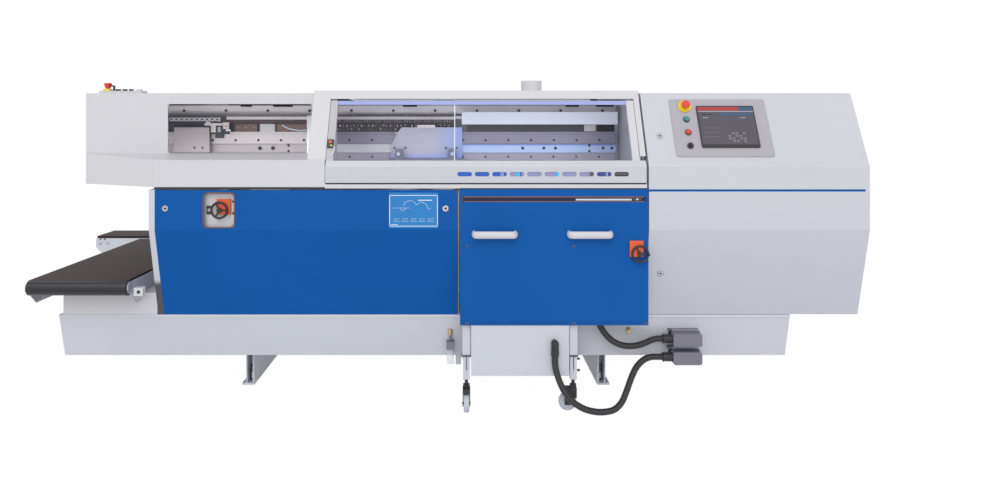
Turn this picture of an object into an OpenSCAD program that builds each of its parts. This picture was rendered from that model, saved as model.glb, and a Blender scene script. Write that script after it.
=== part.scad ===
// Floor-standing perfect binding machine: a clamp carries book blocks along a beam past milling,
// gluing and pressing; a gluing trolley docks at the front; a belt delivers the books at the left.
// x runs along the row, -y is the front, z = 0 is the floor.

/* [Row] */
// Length of the left housing
left_housing_w = 1084; // [1000:1:1200]
// Length of the portal that holds the safety hood
portal_w = 1533; // [1480:1:1700]
// Length of the control cabinet
cabinet_w = 994; // [900:1:1200]
// Seam between the portal and the cabinet
seam_gap = 9; // [8:1:14]
// How far the rear conveyor reaches past the left housing
outfeed_reach = 460; // [420:1:600]
// Depth from the front plane to the rear panels
machine_depth = 1500; // [1450:1:1700]
// Thickness of the sheet metal
sheet = 4; // [3:0.5:5]
// Depth of the returns folded behind doors and covers
return_d = 15; // [10:1:18]

/* [Heights] */
// Underside of the base frame
base_z = 209; // [200:1:230]
// Top of the base frame
base_top = 414; // [400:1:430]
// Height where the lower front starts to slope back
bend_z = 823; // [780:1:860]
// Top edge of the covers
cover_top = 1002; // [990:1:1006]
// Underside of the left housing's front band
band_z = 1016; // [1012:1:1030]
// Height where the upper front starts to slope back
slant_z = 1107; // [1090:1:1120]
// Height of the sill in front of the left window
sill_z = 1138; // [1130:1:1150]
// Top of the left housing and of the cabinet
roof_z = 1445; // [1430:1:1450]
// Top of the portal
portal_top = 1457; // [1452:1:1480]

/* [Front] */
// Slope of the upper front, from vertical
slant_angle = 27.4; // [25:0.1:29]
// Slope of the lower front, from vertical
lower_angle = 15; // [12:0.5:17]
// Depth of the left housing's window face
window_d = 185; // [170:1:200]
// Length of the blue cover
cover_w = 1360; // [1300:1:1400]
// Width of the post beside the blue cover
column_w = 27; // [20:1:40]
// Width of the trolley's front panel
panel_w = 848; // [800:1:860]
// Gap between the blue cover and the trolley
bay_gap = 14; // [12:1:20]

/* [Window] */
// Distance from the housing's left end to the window
window_x = 389; // [380:1:400]
// Width of the post between the window and the portal
window_post = 10; // [8:1:40]
// Underside of the window
window_z = 1160; // [1155:1:1170]
// Height of the window
window_h = 233; // [200:1:250]
// Thickness of the clear panes
pane_t = 5; // [4:0.5:6]

/* [Hood] */
// Width of the portal's left cheek
cheek_w = 82; // [70:1:100]
// Width of the portal's right cheek
right_cheek_w = 26; // [20:1:40]
// Height of the portal's header
header_h = 40; // [30:1:44]
// Running gap round the hood
hood_gap = 2; // [1:0.5:4]
// Underside of the hood's front bar
bar_z = 1035; // [1030:1:1040]
// Width of the hood's side bars
hood_rail_w = 34; // [25:1:40]
// Depth of the hood's front bar
bar_d = 36; // [25:1:45]
// Number of slots in the front bar
slot_count = 10; // [4:1:11]
// Length of one slot
slot_w = 66; // [40:1:70]
// Height of one slot
slot_h = 20; // [12:1:24]
// Distance from slot to slot
slot_pitch = 78.5; // [75:0.5:82]

/* [Clamp] */
// Depth of the rails' front face
rail_d = 560; // [540:1:600]
// Depth of the beam behind the rails
beam_back = 46; // [40:1:60]
// Thickness of the clamp's plate
clamp_t = 12; // [10:1:16]
// Length of the clamp's plate at its foot
clamp_w = 372; // [320:1:420]
// Pitch of the energy chain's links
link_pitch = 26; // [22:1:30]
// Pitch of the rail bolts
rail_bolt_pitch = 119; // [100:1:140]
// Pitch of the top bar's bolts
top_bolt_pitch = 220; // [200:5:260]

/* [Trolley] */
// Top of the trolley's front panel
panel_top = 1007; // [1004:1:1009]
// Underside of the trolley's front panel
panel_z = 394; // [390:1:400]
// Width of the leg tubes
leg_w = 36; // [30:1:40]
// Distance between the legs
leg_pitch = 485; // [470:1:520]
// Depth of the legs behind the front plane
leg_d = 38; // [34:1:44]
// Width of the electrical box
box_w = 438; // [400:1:440]
// Underside of the electrical box
box_z = 165; // [150:1:180]
// Diameter of the castor wheels
wheel_dia = 80; // [70:1:90]
// Width of the castor wheels
wheel_w = 24; // [20:1:28]
// Trail of the swivel castors
trail = 26; // [20:1:32]
// Depth of the rear wheels' axle
rear_axle_d = 690; // [600:1:800]
// Reach of the pull handles in front of the panel
handle_reach = 45; // [43:1:50]
// Length of the pull handles
handle_w = 206; // [180:1:220]

/* [Belt] */
// Width of the delivery belt
belt_w = 450; // [400:1:460]
// Height of the delivery belt's top
belt_top = 598; // [580:1:620]
// Diameter over the belt at its rollers
belt_dia = 69; // [60:1:76]
// Thickness of the belt
belt_t = 3; // [2:0.5:4]
// Room behind the rear conveyor's front face
outfeed_room = 260; // [240:1:300]

/* [Controls] */
// Diameter of the handwheels
handwheel_dia = 80; // [70:1:84]
// Radius of the handwheels' shafts
wheel_shaft_r = 5; // [4:0.5:7]
// Diameter of the quarter-turn locks
lock_dia = 28; // [24:1:32]
// Radius of the locks' shafts
lock_shaft_r = 8; // [6:0.5:9]
// Radius of the push buttons' plungers
button_r = 11; // [9:0.5:12]
// Travel of the push buttons
button_travel = 4; // [3:0.5:6]
// Radius of the emergency stop's mushroom
mushroom_r = 20; // [17:0.5:22]
// Length of the touch screen
screen_w = 254; // [230:1:260]
// Radius of the extraction spigot
spigot_r = 55; // [45:1:60]
// Radial running clearance of shafts
clear = 0.05; // [0.03:0.01:0.1]
// Gap between pieces that move past each other
air = 0.5; // [0.3:0.1:1]

/* [Hidden] */
$fn = 48;

// Paint and metal
white = [0.87, 0.87, 0.89];
grey = [0.77, 0.78, 0.82];
blue = [0.07, 0.36, 0.67];
steel = [0.62, 0.62, 0.65];
dark = [0.12, 0.12, 0.13];
clear_pane = [0.80, 0.88, 0.95, 0.35];
red = [0.80, 0.08, 0.08];
yellow = [0.93, 0.78, 0.10];
orange = [0.90, 0.35, 0.10];
brass = [0.75, 0.60, 0.30];

// Places along the row, from its middle
row_w = outfeed_reach + left_housing_w + portal_w + seam_gap + cabinet_w;
housing_x = -row_w / 2 + outfeed_reach;
portal_x = housing_x + left_housing_w;
portal_end = portal_x + portal_w;
cabinet_x = portal_end + seam_gap;
cabinet_end = cabinet_x + cabinet_w;
panel_end = cabinet_x - 3;
panel_x = panel_end - panel_w;
cover_end = panel_x - bay_gap;
cover_x = cover_end - cover_w;
column_x = cover_x - column_w;
hood_x = portal_x + cheek_w + hood_gap;
hood_end = portal_end - hood_gap;
rail_end = portal_end - right_cheek_w - hood_gap;
window_left = housing_x + window_x;
window_w = left_housing_w - window_x - window_post;
base_x = housing_x - 88;
base_w = 3395;
deck_t = 12;

// Places in depth
front_y = -(machine_depth + handle_reach) / 2 + handle_reach;
rear_y = front_y + machine_depth;
rail_y = front_y + rail_d;
plate_y = rail_y + beam_back;

// Front face: y of a point at height z, set back by t
function front_at(z, t = 0) = front_y + t
    + (z > slant_z ? (z - slant_z) * tan(slant_angle) : 0)
    + (z < bend_z ? (bend_z - z) * tan(lower_angle) : 0);
function face_tilt(z) = z > slant_z ? -slant_angle : z < bend_z ? lower_angle : 0;
function flip(list) = [for (i = [len(list) - 1 : -1 : 0]) list[i]];

// Profile in the y-z plane, drawn along x
module along_x(x0, x1) {
    translate([x0, 0, 0]) rotate([90, 0, 90]) linear_extrude(x1 - x0) children();
}
// Box from its two corners
module span(a, b) { translate(a) cube(b - a); }
// Round bar along y from y0 to y1
module bar_y(x, z, r, y0, y1) { translate([x, y1, z]) rotate([90, 0, 0]) cylinder(r = r, h = y1 - y0); }
// Round bar along x
module bar_x(y, z, r, x0, x1) { translate([x0, y, z]) rotate([0, 90, 0]) cylinder(r = r, h = x1 - x0); }
// Sheet that follows the front between two depths
module front_sheet(x0, x1, zs, t0, t1) {
    along_x(x0, x1) polygon(concat([for (z = zs) [front_at(z, t0), z]],
        [for (z = flip(zs)) [front_at(z, t1), z]]));
}
// Folded cover: a bent sheet with returns on its four edges
module folded_cover(x0, x1, zs) {
    low = zs[0];
    top = zs[len(zs) - 1];
    front_sheet(x0, x1, zs, 0, sheet);
    for (x = [x0, x1 - sheet]) front_sheet(x, x + sheet, zs, 0, return_d);
    for (z = [low, top - sheet]) front_sheet(x0, x1, [z, z + sheet], 0, return_d);
}
// Places a fitting on the sloped front, its outside towards local -y
module on_front(x, z) { translate([x, front_at(z), z]) rotate([face_tilt(z), 0, 0]) children(); }
module round_slot(w, h) {
    square([w - h, h], center = true);
    for (s = [-1, 1]) translate([s * (w - h) / 2, 0]) circle(d = h);
}
module round_rect(w, h, r) {
    hull() for (sx = [-1, 1], sz = [-1, 1]) translate([sx * (w / 2 - r), sz * (h / 2 - r)])
        circle(r, $fn = 32);
}
// Plate facing the front, drawn in x and z around a centre
module plate_y(x, z, y0, y1) { translate([x, y1, z]) rotate([90, 0, 0]) linear_extrude(y1 - y0)
    children(); }
module hex_bolt(af, h) { cylinder(d = af / cos(30), h = h, $fn = 6); }

// ---- Base ----

skirt_t = 10;
rib_x = [column_x + 20, panel_x - bay_gap / 2, portal_end];
base_back = rear_y - sheet;
stop_w = 26;
module base_frame() {
    color(grey) {
        span([base_x, front_at(base_top, 0), base_top - deck_t], [base_x + base_w, base_back, base_top]);
        front_sheet(base_x, base_x + base_w, [base_z, base_top], 0, skirt_t);
        span([base_x, base_back - skirt_t, base_z], [base_x + base_w, base_back, base_top]);
        for (x = concat([base_x, base_x + base_w - skirt_t], rib_x, foot_x))
            along_x(x, x + skirt_t) polygon([[front_at(base_z), base_z], [base_back, base_z],
                [base_back, base_top], [front_at(base_top), base_top]]);
        // docking stop beside the trolley's left rail
        span([leg_x[0] - leg_w / 2 - stop_w - 6, front_at(base_z, 1), box_z],
            [leg_x[0] - leg_w / 2 - 6, front_at(base_z, 60), base_z + 6]);
    }
}

foot_front = front_y + 360;
foot_back = rear_y - 300;
foot_w = 40;
foot_lip = 20;
foot_x = [housing_x + 731, panel_x + 29 + leg_pitch + 188];
bolt_r = 8;
bolt_set = 45;
module foot_beam(x, out) {
    // out is -1 where the open side of the channel faces left
    translate([x, 0, 0]) scale_x(out) {
        span([-foot_w / 2, foot_front, 0], [-foot_w / 2 + 8, foot_back, base_z]);
        span([-foot_w / 2, foot_front, base_z - 12], [foot_w / 2 + foot_lip, foot_back, base_z]);
        for (y = [foot_front, foot_back - 90]) {
            difference() {
                span([-foot_w / 2, y, 0], [foot_w / 2 + foot_lip, y + 90, 10]);
                translate([0, y + bolt_set, -1]) cylinder(r = bolt_r + clear, h = 12);
            }
            span([-foot_w / 2, y + 82, 0], [foot_w / 2, y + 90, base_z]);
            span([foot_w / 2 - 6, y, 0], [foot_w / 2, y + 90, base_z]);
            translate([0, y + 90, 0]) rotate([90, 0, 0]) linear_extrude(8)
                polygon([[foot_w / 2 - 6, 0], [foot_w / 2 + foot_lip, 0], [foot_w / 2, 45],
                    [foot_w / 2 - 6, 45]]);
        }
    }
}
module scale_x(s) { if (s > 0) children(); else mirror([1, 0, 0]) children(); }
module foot_beams() { color(grey) { foot_beam(foot_x[0], -1); foot_beam(foot_x[1], 1); } }
module leveling_bolts() {
    color(dark) for (x = foot_x, y = [foot_front, foot_back - 90]) translate([x, y + bolt_set, 0]) {
        cylinder(r = bolt_r, h = 75);
        for (z = [10, 48]) translate([0, 0, z]) hex_bolt(20, 12);
        translate([0, 0, 75]) hex_bolt(20, 11);
    }
}

// ---- Body ----

upright_w = 110;
upright_x = [column_x + 60, panel_x - bay_gap - 130, portal_end - upright_w - 6];
body_back = rear_y - sheet;
housing_floor_y = front_y + window_d + 40;
module lower_body() {
    zs = [base_top, bend_z, cover_top + 2];
    color(grey) {
        // left side wall with its front post
        along_x(column_x, column_x + sheet) polygon([[front_at(base_top), base_top],
            [front_at(bend_z), bend_z],
            [front_y, cover_top + 2], [housing_floor_y, cover_top + 2], [housing_floor_y, band_z],
                [body_back, band_z],
            [body_back, base_top]]);
        front_sheet(column_x, cover_x - seat_gap, zs, 0, return_d);
        // partition beside the trolley bay
        along_x(panel_x - bay_gap / 2 - sheet / 2, panel_x - bay_gap / 2 + sheet / 2)
            polygon([[front_at(base_top, 20), base_top], [front_at(bend_z, 20), bend_z],
            [front_y + 20, cover_top], [plate_y - 8, cover_top], [plate_y - 8, base_top]]);
    }
    color(white) for (x = upright_x)
        span([x, plate_y, base_top], [x + upright_w, plate_y + 14, roof_z - sheet]);
}

module rear_panels() {
    color(white) for (i = [0 : 3]) {
        w = (cabinet_x - column_x) / 4;
        x = column_x + i * w;
        span([x, body_back, base_top - 30], [x + w - (i < 3 ? 0.5 : 0), rear_y, roof_z - sheet]);
    }
}

// ---- Left housing ----

lip_h = 10;
corner_x = cover_x - 4;
module left_housing() {
    back = front_y + window_d;
    color(white) {
        // window face
        difference() {
            span([housing_x, back, window_z - 4], [portal_x - 1, back + sheet, roof_z]);
            plate_y(window_left + window_w / 2, window_z + window_h / 2, back - 1, back + sheet + 1)
                round_rect(window_w, window_h, 12);
        }
        // band with its receding left part
        translate([0, 0, band_z]) linear_extrude(sill_z - band_z)
            polygon([[housing_x, back], [corner_x, front_y],
            [portal_x + cheek_w, front_y], [portal_x + cheek_w, front_y + sheet],
                [corner_x + 1, front_y + sheet],
            [housing_x + sheet, back + sheet], [housing_x, back + sheet]]);
        // sill
        hull() {
            translate([0, 0, sill_z - sheet]) linear_extrude(sheet)
                polygon([[housing_x, back], [corner_x, front_y], [portal_x - 1, front_y],
                    [portal_x - 1, back]]);
            span([housing_x, back, window_z - 6], [portal_x - 1, back + sheet, window_z]);
        }
        span([portal_x - 2, front_y, sill_z - sheet], [portal_x + cheek_w, front_y + sheet + 20, sill_z]);
        // end wall, roof
        span([housing_x, back, band_z], [housing_x + sheet, rear_y, roof_z]);
        span([housing_x, back, roof_z - sheet], [portal_x - 1, rear_y, roof_z]);
        span([housing_x, body_back, band_z], [column_x - 1, rear_y, roof_z]);
        span([housing_x, housing_floor_y, band_z], [column_x + sheet, body_back, band_z + sheet]);
    }
    // dark strip under the band
    color(dark) span([corner_x, front_y + 2, band_z - lip_h],
        [portal_x + cheek_w, front_y + 10, band_z + 2]);
}
pane_lap = 8;
module window_pane() {
    y = front_y + window_d + sheet;
    color(clear_pane) span([window_left - pane_lap, y, window_z - 2],
        [window_left + window_w + pane_lap, y + pane_t, window_z + window_h + pane_lap]);
}

// ---- Portal ----

cheek_depth = 342;
header_z = portal_top - header_h;
cheek_z = sill_z + 16;
module hinge_bore() { bar_x(hinge_y, hinge_axis_z, hinge_r + clear, portal_x, portal_end - sheet); }
module portal_frame() {
    color(white) {
        // left cheek: sloped front and inner wall
        front_sheet(portal_x, portal_x + cheek_w, [sill_z, portal_top], 0, sheet);
        difference() {
            along_x(portal_x + cheek_w - sheet, portal_x + cheek_w) polygon([[front_at(sill_z), sill_z],
                [front_at(portal_top), portal_top], [front_y + cheek_depth, portal_top],
                    [front_y + cheek_depth, sill_z]]);
            hinge_bore();
        }
        along_x(portal_x, portal_x + sheet) polygon([[front_at(sill_z), sill_z],
            [front_at(portal_top), portal_top], [front_y + cheek_depth, portal_top],
                [front_y + cheek_depth, sill_z]]);
        // right cheek
        difference() {
            along_x(portal_end - right_cheek_w, portal_end) polygon([[front_at(cheek_z), cheek_z],
                [front_at(portal_top), portal_top], [front_at(portal_top, 60), portal_top],
                    [front_at(cheek_z, 60), cheek_z]]);
            hinge_bore();
        }
        along_x(portal_end - sheet, portal_end) polygon([[front_at(cheek_z), cheek_z],
            [front_at(portal_top), portal_top], [body_back, portal_top], [body_back, cheek_z]]);
        // header and roof
        front_sheet(portal_x, portal_end, [header_z, portal_top], 0, sheet);
        difference() {
            span([portal_x, front_at(portal_top), portal_top - sheet], [portal_end, rear_y, portal_top]);
            translate([spigot_x, spigot_y, portal_top - sheet - 1])
                cylinder(r = spigot_r - spigot_t, h = sheet + 2);
        }
        span([portal_x, rear_y - sheet, roof_z], [portal_end, rear_y, portal_top]);
        // fixed strip under the hood
        difference() {
            span([portal_x + cheek_w, front_y, panel_top + 3],
                [portal_end, front_y + 60, bar_z - hood_gap]);
            span([portal_x + cheek_w + sheet, front_y + sheet, panel_top],
                [portal_end - sheet, front_y + 61, bar_z - hood_gap - sheet]);
        }
        // walls that carry the strip
        span([portal_end - sheet, front_y + 60 - sheet, bar_z - hood_gap - 20],
            [portal_end, body_back, cheek_z + 1]);
        span([portal_x + cheek_w - sheet, front_y + 40, bar_z - hood_gap - 20],
            [portal_x + cheek_w, front_y + cheek_depth, sill_z + 1]);
    }
}
spigot_y = front_y + 650;
spigot_x = portal_x + 1071;
spigot_h = 68;
spigot_t = 2;
module extraction_spigot() {
    color(white) translate([spigot_x, spigot_y, portal_top]) difference() {
        union() {
            cylinder(r = spigot_r, h = spigot_h);
            cylinder(r = spigot_r + 22, h = sheet);
        }
        translate([0, 0, -1]) cylinder(r = spigot_r - spigot_t, h = spigot_h + 2);
    }
}

// ---- Clamp transport ----

beam_x0 = housing_x + 24;
beam_x1 = portal_end - right_cheek_w;
// Each rail: lower edge, upper edge, depth of its face behind the rail face
rails = [[1106, 1143, 15], [1145, 1190, 8], [1192, 1243, 0], [1243, 1255, 6], [1322, 1338, 12],
    [1351, 1393, 18]];
module guide_beams() {
    color(steel) {
        span([beam_x0, rail_y + 40, rails[0][0]], [beam_x1, plate_y, rails[5][1]]);
        for (r = rails) span([beam_x0, rail_y + r[2], r[0]], [beam_x1, plate_y, r[1]]);
    }
}
// Each bolt row: height, face depth, head radius, first place, pitch
bolt_rows = [[1124, rails[0][2], 5, beam_x0 + 99, rail_bolt_pitch],
    [1211, rails[2][2], 6, beam_x0 + 99, rail_bolt_pitch],
    [1366, rails[5][2], 7, beam_x0 + 79, top_bolt_pitch]];
// Bolts of the middle rail, in pairs, and its upper discs
middle_bolts = concat([for (f = [0.669, 0.732, 0.994]) housing_x + f * left_housing_w],
    [for (f = [0.402, 0.439, 0.664, 0.736, 0.776, 0.939, 0.975]) portal_x + f * portal_w]);
middle_discs = [housing_x + 0.807 * left_housing_w, portal_x + 0.892 * portal_w];
bolt_head = 4;
module bolt_at(x, z, face, r) {
    translate([x, rail_y + face, z]) rotate([90, 0, 0]) cylinder(r = r, h = bolt_head, $fn = 16);
}
module beam_bolts() {
    color(steel) {
        for (row = bolt_rows, x = [row[3] : row[4] : beam_x1 - 30]) bolt_at(x, row[0], row[1], row[2]);
        for (x = middle_bolts) bolt_at(x, 1167, rails[1][2], 8);
        for (x = middle_discs) bolt_at(x, 1180, rails[1][2], 7);
    }
}
chain_z = 1306;
chain_h = 34;
chain_y = -20;
module chain_run(x0, count) {
    for (i = [0 : count - 1]) translate([x0 + i * link_pitch, rail_y + chain_y, chain_z]) difference() {
        union() {
            cube([link_pitch - 4, 30, chain_h]);
            translate([link_pitch - 5, 8, 6]) cube([6, 14, chain_h - 12]);
        }
        translate([5, -1, 8]) cube([link_pitch - 14, 12, chain_h - 16]);
    }
}
chain_left_x = beam_x0 + 60;
chain_right_x = portal_x + cheek_w + 14;
lamp_x = panel_x + 8;
chain_right_count = floor((lamp_x - 25 - chain_right_x) / link_pitch);
module energy_chain() {
    runs = [[chain_left_x, 18], [chain_right_x, chain_right_count]];
    color(dark) for (r = runs) {
        chain_run(r[0], r[1]);
        span([r[0], rail_y + chain_y, chain_z - 8], [r[0] + r[1] * link_pitch - 5, rail_y + 40, chain_z]);
    }
}
lamp_z = 1294;
lamp_top = 1358;
lamp_front = rail_y - 60;
lamp_wall = 4;
brush_z = [1256, 1293];
module lamp_cover() {
    color(white) difference() {
        span([lamp_x, lamp_front, lamp_z], [beam_x1 - lamp_wall, rail_y + 11.5, lamp_top]);
        span([lamp_x + lamp_wall, lamp_front + lamp_wall, lamp_z - 4],
            [beam_x1 - 2 * lamp_wall, rail_y + 13, lamp_z + 22]);
    }
    color(dark) span([lamp_x + 30, rail_y + 14, brush_z[0]], [beam_x1 - 34, rail_y + 40, brush_z[1]]);
}
carriage_x = portal_x + 329;
nip_x = housing_x + 281;
nip_w = 187;
nip_z = [1148, 1278];
nip_front = rail_y - 14;
block_z = [1222, 1243, 1296];
table_x = nip_x + 430;
table_w = 210;
table_z = 1000;
jaw_top = 1046;
module pressing_station() {
    color(steel) {
        span([nip_x, nip_front, nip_z[0]], [nip_x + nip_w, rail_y - 6, nip_z[1]]);
        span([nip_x + nip_w, nip_front - 30, nip_z[0]], [nip_x + nip_w + 6, rail_y - 6, nip_z[1]]);
        span([nip_x + 20, rail_y - 6, 1220], [nip_x + nip_w - 20, rail_y, 1240]);
    }
    color(dark) {
        span([nip_x + nip_w + 8, rail_y - 20, block_z[1]], [nip_x + nip_w + 96, rail_y + 6, block_z[2]]);
        span([nip_x + nip_w + 30, rail_y - 20, block_z[0]], [nip_x + nip_w + 70, rail_y, block_z[1]]);
    }
    // nipping table with its two jaws
    color(white) {
        span([table_x, rail_y - 180, base_top], [table_x + table_w, rail_y - 20, table_z]);
        span([table_x - 50, rail_y - 190, table_z], [table_x + table_w + 50, rail_y - 10, table_z + 18]);
    }
    color(steel) for (y = [rail_y - 186, rail_y - 60])
        span([table_x - 40, y, table_z + 18], [table_x + table_w + 40, y + 46, jaw_top]);
}

cutter_x = portal_x + 400;
cutter_y = front_y + 470;
motor_r = 80;
spindle_r = 14;
module milling_motor() {
    color(grey) {
        translate([cutter_x, cutter_y, 720]) cylinder(r = motor_r, h = 270);
        for (a = [0 : 30 : 330]) translate([cutter_x, cutter_y, 740]) rotate([0, 0, a])
            translate([motor_r - 2, -2, 0]) cube([10, 4, 220]);
        span([cutter_x - 110, cutter_y - 100, base_top], [cutter_x + 110, cutter_y + 80, 720]);
        difference() {
            translate([cutter_x, cutter_y, 990]) cylinder(r = 40, h = 26);
            translate([cutter_x, cutter_y, 1000]) cylinder(r = spindle_r + clear, h = 20);
        }
    }
}
cutter_r = 130;
teeth = 12;
module milling_cutter() {
    color(steel) translate([cutter_x, cutter_y, 0]) {
        translate([0, 0, 1001]) cylinder(r = spindle_r, h = 30);
        translate([0, 0, 1022]) cylinder(r = cutter_r, h = 14, $fn = 96);
        for (i = [0 : teeth - 1]) rotate([0, 0, i * 360 / teeth]) translate([cutter_r - 26, -7, 1036])
            cube([22, 14, 8]);
        translate([0, 0, 1036]) cylinder(r = 30, h = 10);
    }
}

clamp_z = rails[0][0];
clamp_top = 1278;
// the plate clears the bolt heads and slides on two shoes
shoe_gap = 6;
clamp_back = rail_y - shoe_gap;
clamp_front = clamp_back - clamp_t;
shoe_z = [[1147, 1156, rails[1][2]], [1244.5, 1253.5, rails[3][2]]];
module clamp_carriage() {
    color(steel) plate_y(0, 0, clamp_front, clamp_back) polygon([[carriage_x, clamp_z],
        [carriage_x + clamp_w, clamp_z],
        [carriage_x + clamp_w, clamp_top], [carriage_x + 56, clamp_top], [carriage_x + 34, 1249],
        [carriage_x, 1181]]);
    // rear jaw under the plate and guide pins of the front jaw
    color(steel) {
        span([carriage_x, clamp_front - 14, clamp_z - 50],
            [carriage_x + clamp_w, clamp_front + 4, clamp_z + 14]);
        for (x = pin_x) bar_y(x, clamp_z + 40, pin_r, clamp_front - 135, clamp_front + 2);
        for (s = shoe_z) span([carriage_x + 20, clamp_back - 1, s[0]],
            [carriage_x + clamp_w - 20, rail_y + s[2] - 0.3, s[1]]);
    }
}
pin_r = 9;
pin_x = [carriage_x + 50, carriage_x + clamp_w - 50];
jaw_y = clamp_front - 14 - 30;
module clamp_jaw() {
    color(steel) difference() {
        union() {
            span([carriage_x, jaw_y - 20, clamp_z - 50], [carriage_x + clamp_w, jaw_y, clamp_z + 14]);
            for (x = pin_x) span([x - 20, jaw_y - 20, clamp_z + 14], [x + 20, jaw_y, clamp_z + 62]);
        }
        for (x = pin_x) bar_y(x, clamp_z + 40, pin_r + clear, jaw_y - 21, jaw_y + 1);
    }
}

// ---- Safety hood ----

hinge_z = header_z - 12;
hinge_axis_z = hinge_z - 4;
hinge_y = front_at(hinge_z, 12);
hinge_r = 5;
hood_rail_d = 20;
module safety_hood() {
    bar_top = sill_z - 4;
    color(white) {
        difference() {
            along_x(hood_x, hood_end) polygon([[front_y, bar_z], [front_y, slant_z],
                [front_at(bar_top), bar_top],
                [front_at(bar_top) + bar_d, bar_top], [front_y + bar_d, slant_z],
                    [front_y + bar_d, bar_z]]);
            along_x(hood_x + sheet, hood_end - sheet) polygon([[front_y + sheet, bar_z + sheet],
                [front_y + sheet, slant_z],
                [front_at(bar_top - sheet, sheet), bar_top - sheet],
                    [front_y + bar_d + 30, bar_top - sheet],
                [front_y + bar_d + 30, bar_z + sheet]]);
            for (i = [0 : slot_count - 1])
                plate_y(panel_x - 12 + slot_w / 2 + i * slot_pitch, bar_z + 39, front_y - 1,
                    front_y + sheet + 1) round_slot(slot_w, slot_h);
        }
        // side bars and top bar on the slope
        for (x = [hood_x, rail_end - hood_rail_w])
            front_sheet(x, x + hood_rail_w, [bar_top, hinge_z + 4], 0, hood_rail_d);
        front_sheet(hood_x + 1, rail_end - 1, [hinge_z - 16, hinge_z + 3], 6, hood_rail_d - 1);
    }
    // hinge pins in the cheeks
    color(steel) {
        bar_x(hinge_y, hinge_axis_z, hinge_r, hood_x - hood_gap - sheet, hood_x + 4);
        bar_x(hinge_y, hinge_axis_z, hinge_r, rail_end - 4, rail_end + hood_gap + 10);
    }
}
pane_split = hood_x + 582;
module hood_panes() {
    color(clear_pane) for (s = [[hood_x + hood_rail_w, pane_split - 0.5],
        [pane_split + 0.5, rail_end - hood_rail_w]])
        front_sheet(s[0], s[1], [sill_z - 4, hinge_z - 16], 7, 7 + pane_t);
}

// ---- Left cover ----

seat_gap = 0.4;
cover_z = base_top + seat_gap;
cut_x = cover_x + 216;
cut_w = 146;
cut_z = 832;
cut_h = 160;
cover_lock_x = [cover_x + 48, cover_end - 51];
cover_lock_z = 920;
module left_cover() {
    color(blue) difference() {
        folded_cover(cover_x, cover_end, [cover_z, bend_z, cover_top]);
        plate_y(cut_x + cut_w / 2, cut_z + cut_h / 2, front_y - 1, front_y + sheet + 1)
            round_rect(cut_w, cut_h, 18);
        for (x = cover_lock_x) bar_y(x, cover_lock_z, lock_shaft_r + clear, front_y - 1,
            front_y + sheet + 1);
    }
}
// Quarter-turn lock: head outside, shaft through the sheet, cam behind it
module lock(side) {
    color(dark) {
        difference() {
            bar_y(0, 0, lock_dia / 2, -5, -air / 2);
            span([-9, -6, -1.5], [9, -3, 1.5]);
        }
        bar_y(0, 0, lock_shaft_r, -air / 2, sheet + 2);
        span([min(0, side * 34) - 6, sheet + 2, -8], [max(0, side * 34) + 6, sheet + 5, 8]);
    }
}
module cover_lock_left() { on_front(cover_lock_x[0], cover_lock_z) lock(1); }
module cover_lock_right() { on_front(cover_lock_x[1], cover_lock_z) lock(1); }

plate_d = 24;
shield_d = 300;
wheel_x = cover_x + 289;
wheel_z = 911;
module recess_plate() {
    color(grey) difference() {
        span([cut_x - 12, front_y + plate_d, cut_z - 8],
            [cut_x + cut_w + 12, front_y + plate_d + sheet, cut_z + cut_h + 8]);
        bar_y(wheel_x, wheel_z, wheel_shaft_r + clear, front_y, front_y + 60);
    }
    color(grey) span([cut_x - 12, front_y + plate_d + sheet, cut_z - 8],
        [cut_x - 8, front_y + shield_d, cut_z + cut_h + 8]);
    color(grey) front_sheet(cut_x + cut_w + 8, cut_x + cut_w + 12, [base_top, bend_z, cut_z + cut_h + 8],
        plate_d + sheet, 200);
    color(orange) difference() {
        span([wheel_x - 14, front_y + plate_d - 12, wheel_z - 20],
            [wheel_x + 48, front_y + plate_d, wheel_z + 50]);
        bar_y(wheel_x, wheel_z, wheel_shaft_r + clear, front_y, front_y + 60);
    }
}
// Handwheel with rim, three spokes, hub and shaft; local -y is the front
module handwheel(reach) {
    rim = handwheel_dia / 2;
    color(dark) {
        rotate([90, 0, 0]) rotate_extrude($fn = 64) translate([rim - 5, 0]) circle(5, $fn = 16);
        for (a = [90, 210, 330]) rotate([0, a, 0]) translate([0, 0, 6])
            cylinder(r = 3.5, h = rim - 10, $fn = 16);
        bar_y(0, 0, 11, -7, 7);
        bar_y(0, 0, wheel_shaft_r, 0, reach);
        bar_y(rim - 5, 0, 4.5, -24, 0);
    }
}
module left_handwheel() { translate([wheel_x, front_y + 4, wheel_z]) handwheel(plate_d + 10); }

// ---- Control cabinet ----

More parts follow.
